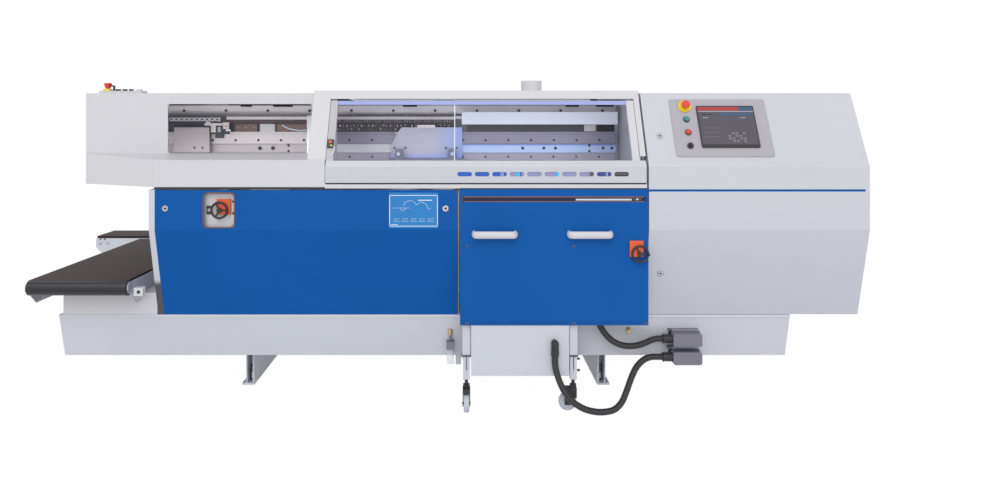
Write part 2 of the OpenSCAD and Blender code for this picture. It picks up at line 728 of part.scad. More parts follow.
door_zs = [base_top + 2, bend_z, slant_z, roof_z - 2];
door_gap = 2;
shell_set = return_d + door_gap;
hinge_d = 200;
knuckle_r = 7;
hinge_zs = [640, 1080];
door_pin_r = 4;
door_pin_x = cabinet_end - knuckle_r;
door_pin_y = front_y + hinge_d;
swing_room = 4.5;
wall_y = door_pin_y + knuckle_r + swing_room;
jamb_d = 8;
jamb_gap = 1.5;
module cabinet_shell() {
    edge = cabinet_end - 2 * knuckle_r;
    jamb_x = edge - jamb_gap;
    color(white) {
        along_x(cabinet_x, cabinet_x + sheet) polygon(concat(
            [for (z = [base_top, bend_z, slant_z, roof_z]) [front_at(z, shell_set), z]],
            [[rear_y, roof_z], [rear_y, base_top]]));
        span([cabinet_end - sheet, wall_y, base_top], [cabinet_end, rear_y, roof_z]);
        for (z = [base_top, roof_z - sheet]) {
            span([cabinet_x, front_at(z + sheet, shell_set), z], [edge, rear_y, z + sheet]);
            span([edge - 1, wall_y, z], [cabinet_end, rear_y, z + sheet]);
        }
        span([cabinet_x, rear_y - sheet, base_top], [cabinet_end, rear_y, roof_z]);
        // jamb behind the hinge gap
        span([jamb_x - sheet, door_pin_y - jamb_d, base_top], [jamb_x, wall_y + sheet, roof_z]);
        span([jamb_x - sheet, wall_y, base_top], [cabinet_end, wall_y + sheet, roof_z]);
        // lower hinge knuckles
        for (z = hinge_zs) difference() {
            union() {
                translate([door_pin_x, door_pin_y, z - 22]) cylinder(r = knuckle_r, h = 20);
                span([cabinet_end - sheet, door_pin_y, z - 22], [cabinet_end, wall_y + 1, z - 2]);
            }
            translate([door_pin_x, door_pin_y, z - 23]) cylinder(r = door_pin_r + clear, h = 22);
        }
    }
}
gear_inset = 80;
gear_z = [560, 1300];
gear_arm_z = [600, 1220];
gear_rail_z = [680, 880, 1080];
module switchgear_plate() {
    y = rear_y - 420;
    color(grey) {
        span([cabinet_x + gear_inset, y, gear_z[0]], [cabinet_end - gear_inset, y + sheet, gear_z[1]]);
        for (x = [cabinet_x + sheet, cabinet_end - gear_inset - sheet], z = gear_arm_z)
            span([x, y, z], [x + gear_inset - 4 + sheet, y + 30, z + 40]);
    }
    for (z = gear_rail_z) {
        color(steel) span([cabinet_x + gear_inset + 30, y - 8, z - 18],
            [cabinet_end - gear_inset - 30, y, z + 18]);
        color(dark) for (i = [0 : 11])
            span([cabinet_x + gear_inset + 50 + i * 60, y - 68, z - 45],
                [cabinet_x + gear_inset + 104 + i * 60, y - 8, z + 45]);
    }
}
door_lock_x = cabinet_x + 65;
door_lock_z = [1243, 618];
control_x = cabinet_x + 130;
control_w = 446;
control_mid = 1281;
control_h = 295;
control_t = 6;
button_x = control_x + 68;
button_z = [1377, 1317, 1258, 1197];
module door_bores() {
    for (z = door_lock_z) on_front(door_lock_x, z) bar_y(0, 0, lock_shaft_r + clear, -1, sheet + 1);
    for (z = button_z) on_front(button_x, z) bar_y(0, 0, button_r + 3, -1, sheet + 1);
}
// Side of the door that wraps round the corner to the hinges
module door_side() {
    difference() {
        along_x(cabinet_end - sheet, cabinet_end) polygon(concat([for (z = door_zs) [front_at(z), z]],
            [[door_pin_y - 1, roof_z - 2], [door_pin_y - 1, base_top + 2]]));
        for (z = hinge_zs)
            span([cabinet_end - sheet - 1, door_pin_y - knuckle_r - 3, z - 24],
                [cabinet_end + 1, door_pin_y, z]);
    }
}
module cabinet_door() {
    color(white) {
        difference() {
            union() {
                folded_cover(cabinet_x, cabinet_end, door_zs);
                door_side();
            }
            door_bores();
        }
        // upper hinge knuckles with their pins
        for (z = hinge_zs) {
            translate([door_pin_x, door_pin_y, z]) cylinder(r = knuckle_r, h = 20);
            span([cabinet_end - sheet, door_pin_y - knuckle_r - 4, z], [cabinet_end, door_pin_y, z + 20]);
            translate([door_pin_x, door_pin_y, z - 20]) cylinder(r = door_pin_r, h = 24);
        }
    }
    color(blue) span([cabinet_x, front_y - 0.4, 996], [cabinet_end - 20, front_y, 1006]);
}
module door_lock_upper() { on_front(door_lock_x, door_lock_z[0]) lock(1); }
module door_lock_lower() { on_front(door_lock_x, door_lock_z[1]) lock(1); }
screen_mid = [control_x + 253, 1283];
module control_plate() {
    color(grey) difference() {
        on_front(control_x + control_w / 2, control_mid) plate_y(0, 0, -control_t, 0)
            round_rect(control_w, control_h, 10);
        for (z = button_z) on_front(button_x, z) bar_y(0, 0, button_r + clear, -control_t - 1, 1);
    }
    color(yellow) on_front(button_x, button_z[0]) difference() {
        bar_y(0, 0, 30, -control_t - 8, -control_t);
        bar_y(0, 0, button_r + clear, -control_t - 9, 1);
    }
    color(steel) for (i = [1 : 3]) on_front(button_x, button_z[i]) difference() {
        bar_y(0, 0, 15.5, -control_t - 5, -control_t);
        bar_y(0, 0, button_r + clear, -control_t - 6, 1);
    }
}
screen_seat = 0.05;
screen_h = 214;
module touch_screen() {
    color(dark) on_front(screen_mid[0], screen_mid[1]) plate_y(0, 0, -control_t - 7,
        -control_t - screen_seat)
        round_rect(screen_w + 12, screen_h, 6);
}
module estop_button() {
    color(red) on_front(button_x, button_z[0]) {
        bar_y(0, 0, button_r, -control_t - 20, sheet + 4);
        translate([0, -control_t - 14 - air, 0]) rotate([90, 0, 0])
            cylinder(r1 = mushroom_r - 6, r2 = mushroom_r, h = 14);
        translate([0, -control_t - 28 - air, 0]) rotate([90, 0, 0])
            cylinder(r1 = mushroom_r, r2 = mushroom_r - 6, h = 6);
    }
}
module push_button(z, tint) {
    color(tint) on_front(button_x, z) bar_y(0, 0, button_r, -control_t - 5 - button_travel - 2, sheet + 4);
}
module start_button() { push_button(button_z[1], [0.1, 0.6, 0.2]); }
module stop_button() { push_button(button_z[2], red); }
module key_switch() {
    color(dark) on_front(button_x, button_z[3]) {
        bar_y(0, 0, button_r, -control_t - 9, sheet + 4);
        span([-2.5, -control_t - 20, -9], [2.5, -control_t - 9, 9]);
    }
}

// ---- Roof controls ----

top_box_x = housing_x + 49;
top_box_w = 204;
top_box_y = front_y + window_d + 30;
top_stop_x = top_box_x + 27;
box_lid = roof_z + 12;
module top_control_box() {
    color(grey) difference() {
        span([top_box_x, top_box_y, roof_z], [top_box_x + top_box_w, top_box_y + 64, box_lid]);
        translate([top_stop_x, top_box_y + 32, roof_z + 4]) cylinder(r = button_r + clear, h = 20);
    }
    color(yellow) translate([top_stop_x, top_box_y + 32, box_lid]) difference() {
        cylinder(r = 21, h = 10);
        translate([0, 0, -1]) cylinder(r = button_r + clear, h = 20);
    }
    color(dark) {
        for (i = [0 : 2]) translate([top_stop_x + 50 + i * 32, top_box_y + 32, box_lid])
            cylinder(r = 12, h = 9);
        translate([top_stop_x + 30, top_box_y + 32, box_lid]) cylinder(r = 5, h = 26);
        span([top_stop_x + 26, top_box_y + 6, box_lid + 20],
            [top_stop_x + 34, top_box_y + 36, box_lid + 27]);
    }
    color(white) translate([top_stop_x + 152, top_box_y + 32, box_lid]) cylinder(r = 14, h = 8);
}
module top_estop() {
    color(red) translate([top_stop_x, top_box_y + 32, 0]) {
        translate([0, 0, box_lid - 2]) cylinder(r = button_r, h = 20);
        translate([0, 0, box_lid + 10 + 6 + air]) cylinder(r1 = mushroom_r - 7, r2 = mushroom_r - 1,
            h = 18);
        translate([0, 0, box_lid + 34 + air]) cylinder(r1 = mushroom_r - 1, r2 = mushroom_r - 4, h = 4);
    }
}

// ---- Gluing trolley ----

leg_x = [panel_x + 29, panel_x + 29 + leg_pitch];
leg_y = front_y + leg_d;
floor_z = base_top + 8;
side_d = 430;
panel_return = 18;
shelf_z = 760;
trolley_top = panel_top - 40;
under_z = 160;
stem_r = 8;
stem_low = 118;
axle_r = 5;
rear_axle_y = front_y + rear_axle_d;
fork_gap = 1;
module trolley_frame() {
    sides = [panel_x + 10, panel_end - 10 - sheet];
    color(grey) {
        span([sides[0], front_y + panel_return, floor_z],
            [sides[1] + sheet, front_y + side_d, floor_z + 6]);
        for (x = sides) span([x, front_y + panel_return, floor_z],
            [x + sheet, front_y + side_d, trolley_top]);
        span([sides[0], front_y + side_d - sheet, floor_z], [sides[1] + sheet, front_y + side_d, shelf_z]);
        span([sides[0], front_y + 60, shelf_z], [sides[1] + sheet, front_y + side_d, shelf_z + 6]);
    }
    color(white) for (x = leg_x) {
        // upper tube, telescoping tube and lower rail to the rear castor
        difference() {
            union() {
                span([x - leg_w / 2, leg_y - leg_w / 2, 243],
                    [x + leg_w / 2, leg_y + leg_w / 2, floor_z + 6]);
                span([x - leg_w / 2 + 3, leg_y - leg_w / 2 + 3, 142],
                    [x + leg_w / 2 - 3, leg_y + leg_w / 2 - 3, 243]);
            }
            translate([x, leg_y, 141]) cylinder(r = stem_r + clear, h = 60);
            span([x - 2, leg_y - leg_w / 2, 160], [x + 2, leg_y - leg_w / 2 + 5, 235]);
        }
        span([x - 15, leg_y + leg_w / 2 - 4, under_z], [x + 15, rear_axle_y + 30, under_z + 30]);
        // fixed rear castor fork
        for (s = [-1, 1]) difference() {
            union() {
                span([x + s * (wheel_w / 2 + fork_gap + 2) - 2, rear_axle_y - 18, wheel_dia / 2],
                    [x + s * (wheel_w / 2 + fork_gap + 2) + 2, rear_axle_y + 18, under_z]);
                bar_x(rear_axle_y, wheel_dia / 2, 16, x + s * (wheel_w / 2 + fork_gap + 2) - 2,
                    x + s * (wheel_w / 2 + fork_gap + 2) + 2);
            }
            bar_x(rear_axle_y, wheel_dia / 2, axle_r + clear, x - 40, x + 40);
        }
        span([x - 20, rear_axle_y - 24, under_z - 4], [x + 20, rear_axle_y + 24, under_z]);
    }
}
slot_z = [panel_z + 555, panel_z + 580];
trolley_wheel = [panel_end - 41, 718];
module trolley_panel() {
    color(blue) difference() {
        union() {
            span([panel_x, front_y, panel_z], [panel_end, front_y + sheet, panel_top]);
            for (x = [panel_x, panel_end - sheet]) span([x, front_y, panel_z + 26],
                [x + sheet, front_y + panel_return, panel_top]);
            for (z = [panel_z + 26, panel_top - sheet]) span([panel_x, front_y, z],
                [panel_end, front_y + panel_return, z + sheet]);
        }
        span([panel_x + 10, front_y - 1, slot_z[0]], [panel_end - 10, front_y + sheet + 1, slot_z[1]]);
        bar_y(trolley_wheel[0], trolley_wheel[1], wheel_shaft_r + clear, front_y - 20, front_y + 30);
    }
    color(orange) difference() {
        span([trolley_wheel[0] - 45, front_y - 12, trolley_wheel[1] - 14],
            [trolley_wheel[0] + 16, front_y, trolley_wheel[1] + 58]);
        bar_y(trolley_wheel[0], trolley_wheel[1], wheel_shaft_r + clear, front_y - 20, front_y + 30);
    }
}
handle_x = [panel_x + 53, panel_x + 480];
handle_z = 805;
module pull_handles() {
    color(white) for (x = handle_x) {
        for (s = [10, handle_w - 10]) bar_y(x + s, handle_z, 8, front_y - handle_reach + 16, front_y);
        translate([x, front_y - handle_reach + 9, handle_z]) rotate([0, 90, 0]) linear_extrude(handle_w)
            hull() {
            for (s = [-1, 1]) translate([s * 8, 0]) circle(9, $fn = 24);
        }
    }
}
box_x = panel_x + 52;
box_back = 100;
gland_x = box_x + 373;
gland_z = 316;
gland_y = front_y - 22;
gland_r = 18;
module electrical_box() {
    color(white) {
        span([box_x, front_y + 8, box_z + 4], [box_x + box_w, front_y + box_back, panel_z - 1]);
        span([box_x + 20, front_y + 30, panel_z - 2], [box_x + box_w - 20, front_y + box_back, floor_z]);
        span([box_x - 2, front_y + 4, box_z], [box_x + box_w + 2, front_y + 8, panel_z - 1]);
    }
    color(steel) for (x = [box_x + 12, box_x + box_w - 12], z = [box_z + 14, panel_z - 14])
        bar_y(x, z, 5, front_y + 1, front_y + 4);
    color(dark) {
        bar_y(gland_x, gland_z, gland_r - 3, gland_y, front_y + 4);
        translate([gland_x, gland_y, gland_z]) sphere(gland_r - 1);
        translate([gland_x, gland_y, 262]) cylinder(r = gland_r - 1, h = gland_z - 262);
        translate([gland_x, gland_y, 264]) cylinder(r = gland_r, h = 22, $fn = 20);
    }
}
roller_r = 46;
roller_x = [panel_x + 190, panel_x + 640];
roller_y = front_y + 240;
roller_z = trolley_top - 40;
module glue_tank() {
    w = 620;
    x0 = panel_x + 110;
    color(grey) difference() {
        span([x0, front_y + 100, shelf_z + 6], [x0 + w, front_y + 380, trolley_top - 30]);
        span([x0 + 10, front_y + 110, shelf_z + 26], [x0 + w - 10, front_y + 370, trolley_top - 20]);
    }
    color(steel) for (x = [x0 + 10, x0 + w - 30]) difference() {
        span([x, roller_y - 30, shelf_z + 20], [x + 20, roller_y + 30, roller_z + 30]);
        bar_x(roller_y, roller_z, 12 + clear, x - 1, x + 21);
    }
}
module glue_roller() {
    x0 = panel_x + 110;
    color(steel) {
        bar_x(roller_y, roller_z, roller_r, x0 + 40, x0 + 580);
        bar_x(roller_y, roller_z, 12, x0 + 11, x0 + 609);
    }
}
module trolley_handwheel() { translate([trolley_wheel[0], front_y - 19.5, trolley_wheel[1]])
    handwheel(36); }

// Swivel castor: wheel trails along the given angle
module castor_fork(x, angle) {
    translate([x, leg_y, 0]) rotate([0, 0, angle]) color(dark) {
        translate([0, 0, 112]) cylinder(r = stem_r, h = 70);
        translate([0, 0, 104]) cylinder(r = 15, h = 14);
        span([-wheel_w / 2 - fork_gap - 4, -trail - 14, wheel_dia + 3],
            [wheel_w / 2 + fork_gap + 4, 15, 105]);
        for (s = [-1, 1]) difference() {
            union() {
                span([s * (wheel_w / 2 + fork_gap + 2) - 2, -trail - 14, 58],
                    [s * (wheel_w / 2 + fork_gap + 2) + 2, 15, 104]);
                span([s * (wheel_w / 2 + fork_gap + 2) - 2, -trail - 14, wheel_dia / 2 - 12],
                    [s * (wheel_w / 2 + fork_gap + 2) + 2, -trail + 14, 90]);
            }
        }
        bar_x(-trail, wheel_dia / 2, axle_r, -wheel_w / 2 - fork_gap - 6, wheel_w / 2 + fork_gap + 6);
    }
}
module wheel() {
    color(grey) rotate([0, 90, 0]) difference() {
        rotate_extrude($fn = 64) polygon([[axle_r + clear, -wheel_w / 2], [14, -wheel_w / 2],
            [16, -wheel_w / 2 + 4],
            [wheel_dia / 2 - 8, -wheel_w / 2 + 4], [wheel_dia / 2 - 4, -wheel_w / 2],
                [wheel_dia / 2, -wheel_w / 2 + 4],
            [wheel_dia / 2, wheel_w / 2 - 4], [wheel_dia / 2 - 4, wheel_w / 2],
                [wheel_dia / 2 - 8, wheel_w / 2 - 4],
            [16, wheel_w / 2 - 4], [14, wheel_w / 2], [axle_r + clear, wheel_w / 2]]);
    }
}
castor_angle = [0, -90];
module castor_wheel(i) {
    translate([leg_x[i], leg_y, wheel_dia / 2]) rotate([0, 0, castor_angle[i]]) translate([0, -trail, 0])
        wheel();
}
module castor_fork_left() { castor_fork(leg_x[0], castor_angle[0]); }
module castor_fork_right() { castor_fork(leg_x[1], castor_angle[1]); }
module castor_wheel_left() { castor_wheel(0); }
module castor_wheel_right() { castor_wheel(1); }
module rear_wheel_pair() {
    for (x = leg_x) translate([x, rear_axle_y, wheel_dia / 2]) wheel();
    color(steel) bar_x(rear_axle_y, wheel_dia / 2, axle_r, leg_x[0] - 24, leg_x[1] + 24);
}

// ---- Delivery belt ----

belt_x = housing_x - 169 + 5;
belt_z = belt_top - belt_dia / 2;
roller_in = belt_dia / 2 - belt_t;
side_t = 5;
belt_end = belt_x + belt_w;
belt_shaft_r = 8;
belt_front = front_y;
outfeed_d = machine_depth - outfeed_room;
belt_run = outfeed_d - 75;
belt_back = front_y + belt_run;
plinth_x = housing_x - 68;
module belt_profile(r) {
    hull() for (y = [belt_front, belt_back]) translate([y, belt_z]) circle(r);
}
module conveyor_belt() {
    color(blue) difference() {
        union() for (y = [belt_front, belt_back]) bar_x(y, belt_z, belt_dia / 2, belt_x + 2, belt_end - 2);
        for (y = [belt_front, belt_back]) bar_x(y, belt_z, roller_in, belt_x, belt_end);
        span([belt_x, belt_front, belt_z - belt_dia], [belt_end, belt_back, belt_z + belt_dia]);
    }
    color(blue) for (z = [belt_z + roller_in, belt_z - belt_dia / 2])
        span([belt_x + 2, belt_front, z], [belt_end - 2, belt_back, z + belt_t]);
}
module belt_roller(y) {
    color(steel) {
        bar_x(y, belt_z, roller_in - air / 4, belt_x + 4, belt_end - 4);
        bar_x(y, belt_z, belt_shaft_r, belt_x - side_t - 3, belt_end + side_t + 3);
    }
}
module front_roller() { belt_roller(belt_front); }
module rear_roller() { belt_roller(belt_back); }
module belt_frame() {
    color(grey) {
        for (x = [belt_x - side_t, belt_end]) difference() {
            along_x(x, x + side_t) union() {
                translate([belt_front, belt_z]) circle(26);
                polygon([[belt_front, belt_z + 26], [belt_back + 30, belt_z + 26],
                    [belt_back + 30, belt_z - 60],
                    [belt_front + 240, belt_z - 82], [belt_front + 60, belt_z - 82],
                        [belt_front, belt_z - 26]]);
            }
            for (y = [belt_front, belt_back]) bar_x(y, belt_z, belt_shaft_r + clear, x - 1, x + side_t + 1);
        }
        // cross bars and support legs on the plinth
        for (y = [front_y + 180, front_y + 600, belt_back - 105]) {
            bar_x(y, belt_z, 12, belt_x - 1, belt_end + 1);
            bar_x(y, belt_z - 46, 9, belt_x - 1, belt_end + 1);
        }
        for (y = [front_y + 170, belt_back - 125], x = [plinth_x + 10, belt_end - 50])
            span([x, y, plinth_top], [x + 40, y + 20, belt_z - 38]);
        // tab
        span([belt_end + side_t, front_y + 60, 526], [belt_end + side_t + 42, front_y + 66, 557]);
    }
    color(white) span([plinth_x, front_y + 112, base_top], [column_x - 6, belt_back + 35, plinth_top]);
}
plinth_top = 515;
outfeed_top = 603;
outfeed_h = 108;
module rear_outfeed() {
    y0 = front_y + outfeed_d;
    x0 = -row_w / 2;
    color(grey) translate([0, rear_y - 20, 0]) rotate([90, 0, 0]) linear_extrude(rear_y - 20 - y0)
        polygon([[x0, outfeed_top - 14], [x0, outfeed_top - outfeed_h + 40],
            [x0 + 40, outfeed_top - outfeed_h],
            [column_x - 1, outfeed_top - outfeed_h], [column_x - 1, outfeed_top - 14]]);
    color(dark) span([x0 + 6, y0 + 6, outfeed_top - 14], [column_x - 1, rear_y - 26, outfeed_top]);
    color(steel) for (x = [x0 + 24, x0 + 70]) bar_y(x, outfeed_top - 45, 8, y0 - 5, y0);
    color(grey) span([base_x + 60, y0 + 60, base_top], [base_x + 120, y0 + 180, outfeed_top - outfeed_h]);
}

// ---- Connectors, cables, air ----

socket_x = cabinet_x + 127;
socket_w = 136;
socket_z = [306, 222];
socket_h = 62;
socket_front = 128;
hood_d = 62;
module connector_bases() {
    for (z = socket_z) color(grey) {
        along_x(socket_x, socket_x + socket_w) polygon([[front_y + socket_front, z - socket_h / 2],
            [front_y + socket_front, z + socket_h / 2 + 6],
                [front_at(z + socket_h / 2 + 6), z + socket_h / 2 + 6],
            [front_at(z - socket_h / 2), z - socket_h / 2]]);
    }
}
module connector_hoods() {
    for (z = socket_z) color(grey) {
        plate_y(socket_x + socket_w / 2, z, front_y + socket_front - hood_d, front_y + socket_front - air)
            round_rect(socket_w - 4, socket_h - 4, 10);
        color(dark) bar_x(front_y + 112 - 15, z, 20, socket_x - 42, socket_x + 3);
    }
}
cable_r = 15;
// Routes of the two cables: x, depth behind the front plane, height
upper_route = [[820, 60, 422], [820, 60, 402], [820, 60, 384], [827, 61, 357], [846, 64, 330],
    [880, 69, 302],
    [920, 75, 284], [965, 81, 275], [1010, 86, 276], [1050, 91, 287], [1080, 96, 300], [1106, 97, 306],
    [1118, 97, 306], [1131, 97, 306]];
lower_route = [[620, -22, 262], [620, -22, 246], [620, -22, 230], [625, -26, 196], [640, -36, 150],
    [664, -46, 104],
    [700, -48, 64], [748, -46, 35], [800, -40, 20], [846, -34, 18], [888, -24, 26], [922, -10, 54],
        [948, 10, 98],
    [972, 32, 144], [1002, 58, 186], [1040, 82, 212], [1076, 96, 221], [1106, 97, 222], [1118, 97, 222],
    [1131, 97, 222]];
// Smooth curve through the route points, steps per span
function spline(p, steps) = [for (i = [0 : len(p) - 2], k = [0 : steps - 1]) spline_at(p, i, k / steps),
    p[len(p) - 1]];
function spline_at(p, i, t) = let (a = p[max(i - 1, 0)], b = p[i], c = p[i + 1],
    d = p[min(i + 2, len(p) - 1)])
    0.5 * (2 * b + (c - a) * t + (2 * a - 5 * b + 4 * c - d) * t * t + (3 * b - a - 3 * c + d) * t * t * t);
function unit(v) = v / norm(v);
module tube_along(path, r, sides) {
    n = len(path);
    points = [for (i = [0 : n - 1]) let (
        t = unit(path[min(i + 1, n - 1)] - path[max(i - 1, 0)]),
        side = unit(cross(t, [0, 1, 0])), up = cross(side, t))
        for (k = [0 : sides - 1]) path[i] + r * (cos(k * 360 / sides) * side + sin(k * 360 / sides) * up)];
    faces = concat([[for (k = [sides - 1 : -1 : 0]) k]], [[for (k = [0 : sides - 1]) (n - 1) * sides + k]],
        [for (i = [0 : n - 2], k = [0 : sides - 1]) [i * sides + k, i * sides + (k + 1) % sides,
            (i + 1) * sides + (k + 1) % sides, (i + 1) * sides + k]]);
    polyhedron(points, faces);
}
function placed(route) = [for (p = route) [p[0], front_y + p[1], p[2]]];
module cable_upper() { color(dark) tube_along(spline(placed(upper_route), 2), cable_r, 10); }
module cable_lower() { color(dark) tube_along(spline(placed(lower_route), 2), cable_r, 10); }

air_x = panel_x - 45;
air_z = [186, 254, 290, 318, 344];
module air_service_unit() {
    y = front_at(air_z[2]) - 24;
    color(brass) translate([air_x, y, air_z[3]]) cylinder(r = 9, h = air_z[4] - air_z[3]);
    color(grey) {
        translate([air_x, y, air_z[2] - 6]) cylinder(r = 5, h = air_z[3] - air_z[2] + 8);
        span([air_x - 18, y - 20, air_z[1]], [air_x + 18, y + 18, air_z[2]]);
        along_x(air_x - 8, air_x + 8) polygon([[y + 17, 262], [y + 17, 282], [front_at(282), 282],
            [front_at(262), 262]]);
    }
    color(clear_pane) translate([air_x, y, air_z[0]]) cylinder(r = 16, h = air_z[1] - air_z[0]);
    color(brass) on_front(panel_end - 63, 343) bar_y(0, 0, 10, -26, 0);
}

base_frame();
foot_beams();
leveling_bolts();
lower_body();
rear_panels();
left_housing();
window_pane();
portal_frame();
extraction_spigot();
guide_beams();
beam_bolts();
energy_chain();
lamp_cover();
pressing_station();
milling_motor();
milling_cutter();
clamp_carriage();
clamp_jaw();
safety_hood();
hood_panes();
left_cover();
cover_lock_left();
cover_lock_right();
recess_plate();
left_handwheel();
cabinet_shell();
switchgear_plate();
cabinet_door();
door_lock_upper();
door_lock_lower();
control_plate();
touch_screen();
estop_button();
start_button();
stop_button();
key_switch();
top_control_box();
top_estop();
trolley_frame();
trolley_panel();
pull_handles();
electrical_box();
glue_tank();
glue_roller();
trolley_handwheel();
castor_fork_left();
castor_fork_right();
castor_wheel_left();
castor_wheel_right();
rear_wheel_pair();
belt_frame();
conveyor_belt();
front_roller();
rear_roller();
rear_outfeed();
connector_bases();
connector_hoods();
cable_upper();
cable_lower();
air_service_unit();
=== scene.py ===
# Dresses the perfect binding machine: camera, materials, cables, fine parts, floor and light.
import math
import bmesh
import bpy
from mathutils import Matrix, Vector


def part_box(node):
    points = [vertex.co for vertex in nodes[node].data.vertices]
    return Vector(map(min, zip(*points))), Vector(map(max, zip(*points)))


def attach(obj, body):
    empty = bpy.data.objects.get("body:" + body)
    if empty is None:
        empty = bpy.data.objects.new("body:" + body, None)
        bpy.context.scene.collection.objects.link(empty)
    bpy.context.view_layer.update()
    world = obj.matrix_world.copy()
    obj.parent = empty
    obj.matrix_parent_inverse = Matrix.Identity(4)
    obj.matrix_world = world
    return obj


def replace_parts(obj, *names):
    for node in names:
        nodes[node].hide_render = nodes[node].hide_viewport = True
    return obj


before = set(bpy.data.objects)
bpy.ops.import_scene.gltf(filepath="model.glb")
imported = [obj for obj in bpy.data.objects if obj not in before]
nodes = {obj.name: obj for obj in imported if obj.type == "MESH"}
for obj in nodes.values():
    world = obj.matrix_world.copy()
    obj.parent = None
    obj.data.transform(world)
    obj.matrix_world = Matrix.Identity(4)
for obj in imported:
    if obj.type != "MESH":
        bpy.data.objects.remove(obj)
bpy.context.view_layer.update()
scene = bpy.context.scene
scene.view_settings.view_transform = "Standard"
MM = 0.001

# ---- The machine's own sizes, in millimetres: x to the right, y to the back, z up ----
FRONT = -727.5                      # plane of the covers and of the lower front
SHEET = 4.0                         # thickness of the housing
SLANT_Z, SLANT = 1107.0, 27.4       # the front leans back above this height, by this angle
BEND_Z, LOWER = 823.0, 15.0         # and draws in below this height, by this angle
PORTAL_X, PORTAL_END = -496.0, 1037.0
HOOD_X, HOOD_END = -412.0, 1035.0
COVER_X = -1179.0                   # left end of the left cover
PANEL_X, PANEL_END = 195.0, 1043.0  # the trolley's panel
LEG_X, LEG_Y = (224.0, 709.0), -689.5
GRIP_L = 206.0
BELT_X, BELT_END, BELT_Z = -1744.0, -1294.0, 563.5      # the belt's two ends, and the height of its axles
SOCKET_X, SOCKET_W, SOCKET_Z = 1173.0, 136.0, (306.0, 222.0)    # left side, width and heights of the connectors
BUTTON_X, ESTOP_Z, START_Z = 1244.0, 1377.0, 1317.0
COLLAR_Y, COLLAR_SPLIT = -6.1, 1345.0   # what only the collars reach, and the height between the upper and the lower
SCREEN = (1429.0, 1283.0)           # middle of the touch screen, along x and z
BOX_LID = 1457.1                    # top of the small box on the roof, without its button
# Rails: front plane, ends, ranges of height, and how far the face at a screw's height lies behind the front plane
RAIL_Y, BEAM_X0, BEAM_X1 = -167.5, -1556, 1011
LOW_RAIL, MIDDLE_RAIL, UPPER_RAIL, TOP_RAIL = (1100.0, 1144.5), (1144.5, 1190.5), (1191.0, 1256.0), 1345.0
MIDDLE_Z = 1169
RAIL_FACE = {1124: 15, MIDDLE_Z: 8, 1211: 0, 1366: 18}
FITTING_Y, WALL_Y = -150.0, -126.0  # front and back of the fittings between the rails


def front_at(z):
    """Place of the front sheet along y, at a height."""
    y = FRONT
    if z > SLANT_Z:
        y += (z - SLANT_Z) * math.tan(math.radians(SLANT))
    if z < BEND_Z:
        y += (BEND_Z - z) * math.tan(math.radians(LOWER))
    return y


def on_front(x, z):
    """Frame on the front sheet: x along it, y into it and z up it."""
    tilt = -SLANT if z > SLANT_Z else LOWER if z < BEND_Z else 0.0
    return Matrix.Translation((x, front_at(z), z)) @ Matrix.Rotation(math.radians(tilt), 4, "X")


# ---- Camera, square on to the front ----
view = bpy.data.cameras.new("view")
view.lens, view.sensor_width = 27.36, 36.0
view.shift_x, view.shift_y = 0.038, -0.132
view.clip_end = 300.0
camera = bpy.data.objects.new("view", view)
camera.location = (0.204, -4.1475, 1.327)
camera.rotation_euler = (math.radians(90), 0, 0)
scene.collection.objects.link(camera)
scene.camera = camera


# ---- Materials ----
def lin(r, g, b):
    """Linear colour of an 8-bit display colour."""
    return tuple(((v / 255 + 0.055) / 1.055) ** 2.4 if v > 10 else v / 255 / 12.92 for v in (r, g, b)) + (1.0,)


def link(tree, a, b):
    tree.links.new(a, b)


def noise(tree, coord, scale, detail=2.0, stretch=None):
    """Noise in object space, drawn out along the axes where stretch is small."""
    n = tree.nodes.new("ShaderNodeTexNoise")
    n.inputs["Scale"].default_value = scale
    n.inputs["Detail"].default_value = detail
    if stretch:
        m = tree.nodes.new("ShaderNodeMapping")
        m.inputs["Scale"].default_value = stretch
        link(tree, coord, m.inputs["Vector"])
        coord = m.outputs["Vector"]
    link(tree, coord, n.inputs["Vector"])
    return n.outputs["Fac"]


def spread(tree, fac, low, high, start=0.3, end=0.7):
    """Maps the range from start to end on the range from low to high."""
    m = tree.nodes.new("ShaderNodeMapRange")
    for socket, v in (("From Min", start), ("From Max", end), ("To Min", low), ("To Max", high)):
        m.inputs[socket].default_value = v
    link(tree, fac, m.inputs["Value"])
    return m.outputs["Result"]


def mixed(tree, fac, a, b):
    """Colour between a and b, which are colours or sockets."""
    m = tree.nodes.new("ShaderNodeMix")
    m.data_type = "RGBA"
    link(tree, fac, m.inputs["Factor"])
    for socket, v in ((m.inputs["A"], a), (m.inputs["B"], b)):
        if isinstance(v, tuple):
            socket.default_value = v
        else:
            link(tree, v, socket)
    return m.outputs["Result"]


def computed(tree, operation, a, b):
    """Math node on a socket and on a second socket or a number."""
    m = tree.nodes.new("ShaderNodeMath")
    m.operation = operation
    link(tree, a, m.inputs[0])
    if isinstance(b, float):
        m.inputs[1].default_value = b
    else:
        link(tree, b, m.inputs[1])
    return m.outputs[0]


def tinted(rgb, factor):
    """Colour made darker or lighter by a factor."""
    return tuple(min(1.0, c * factor) for c in rgb[:3]) + (1.0,)


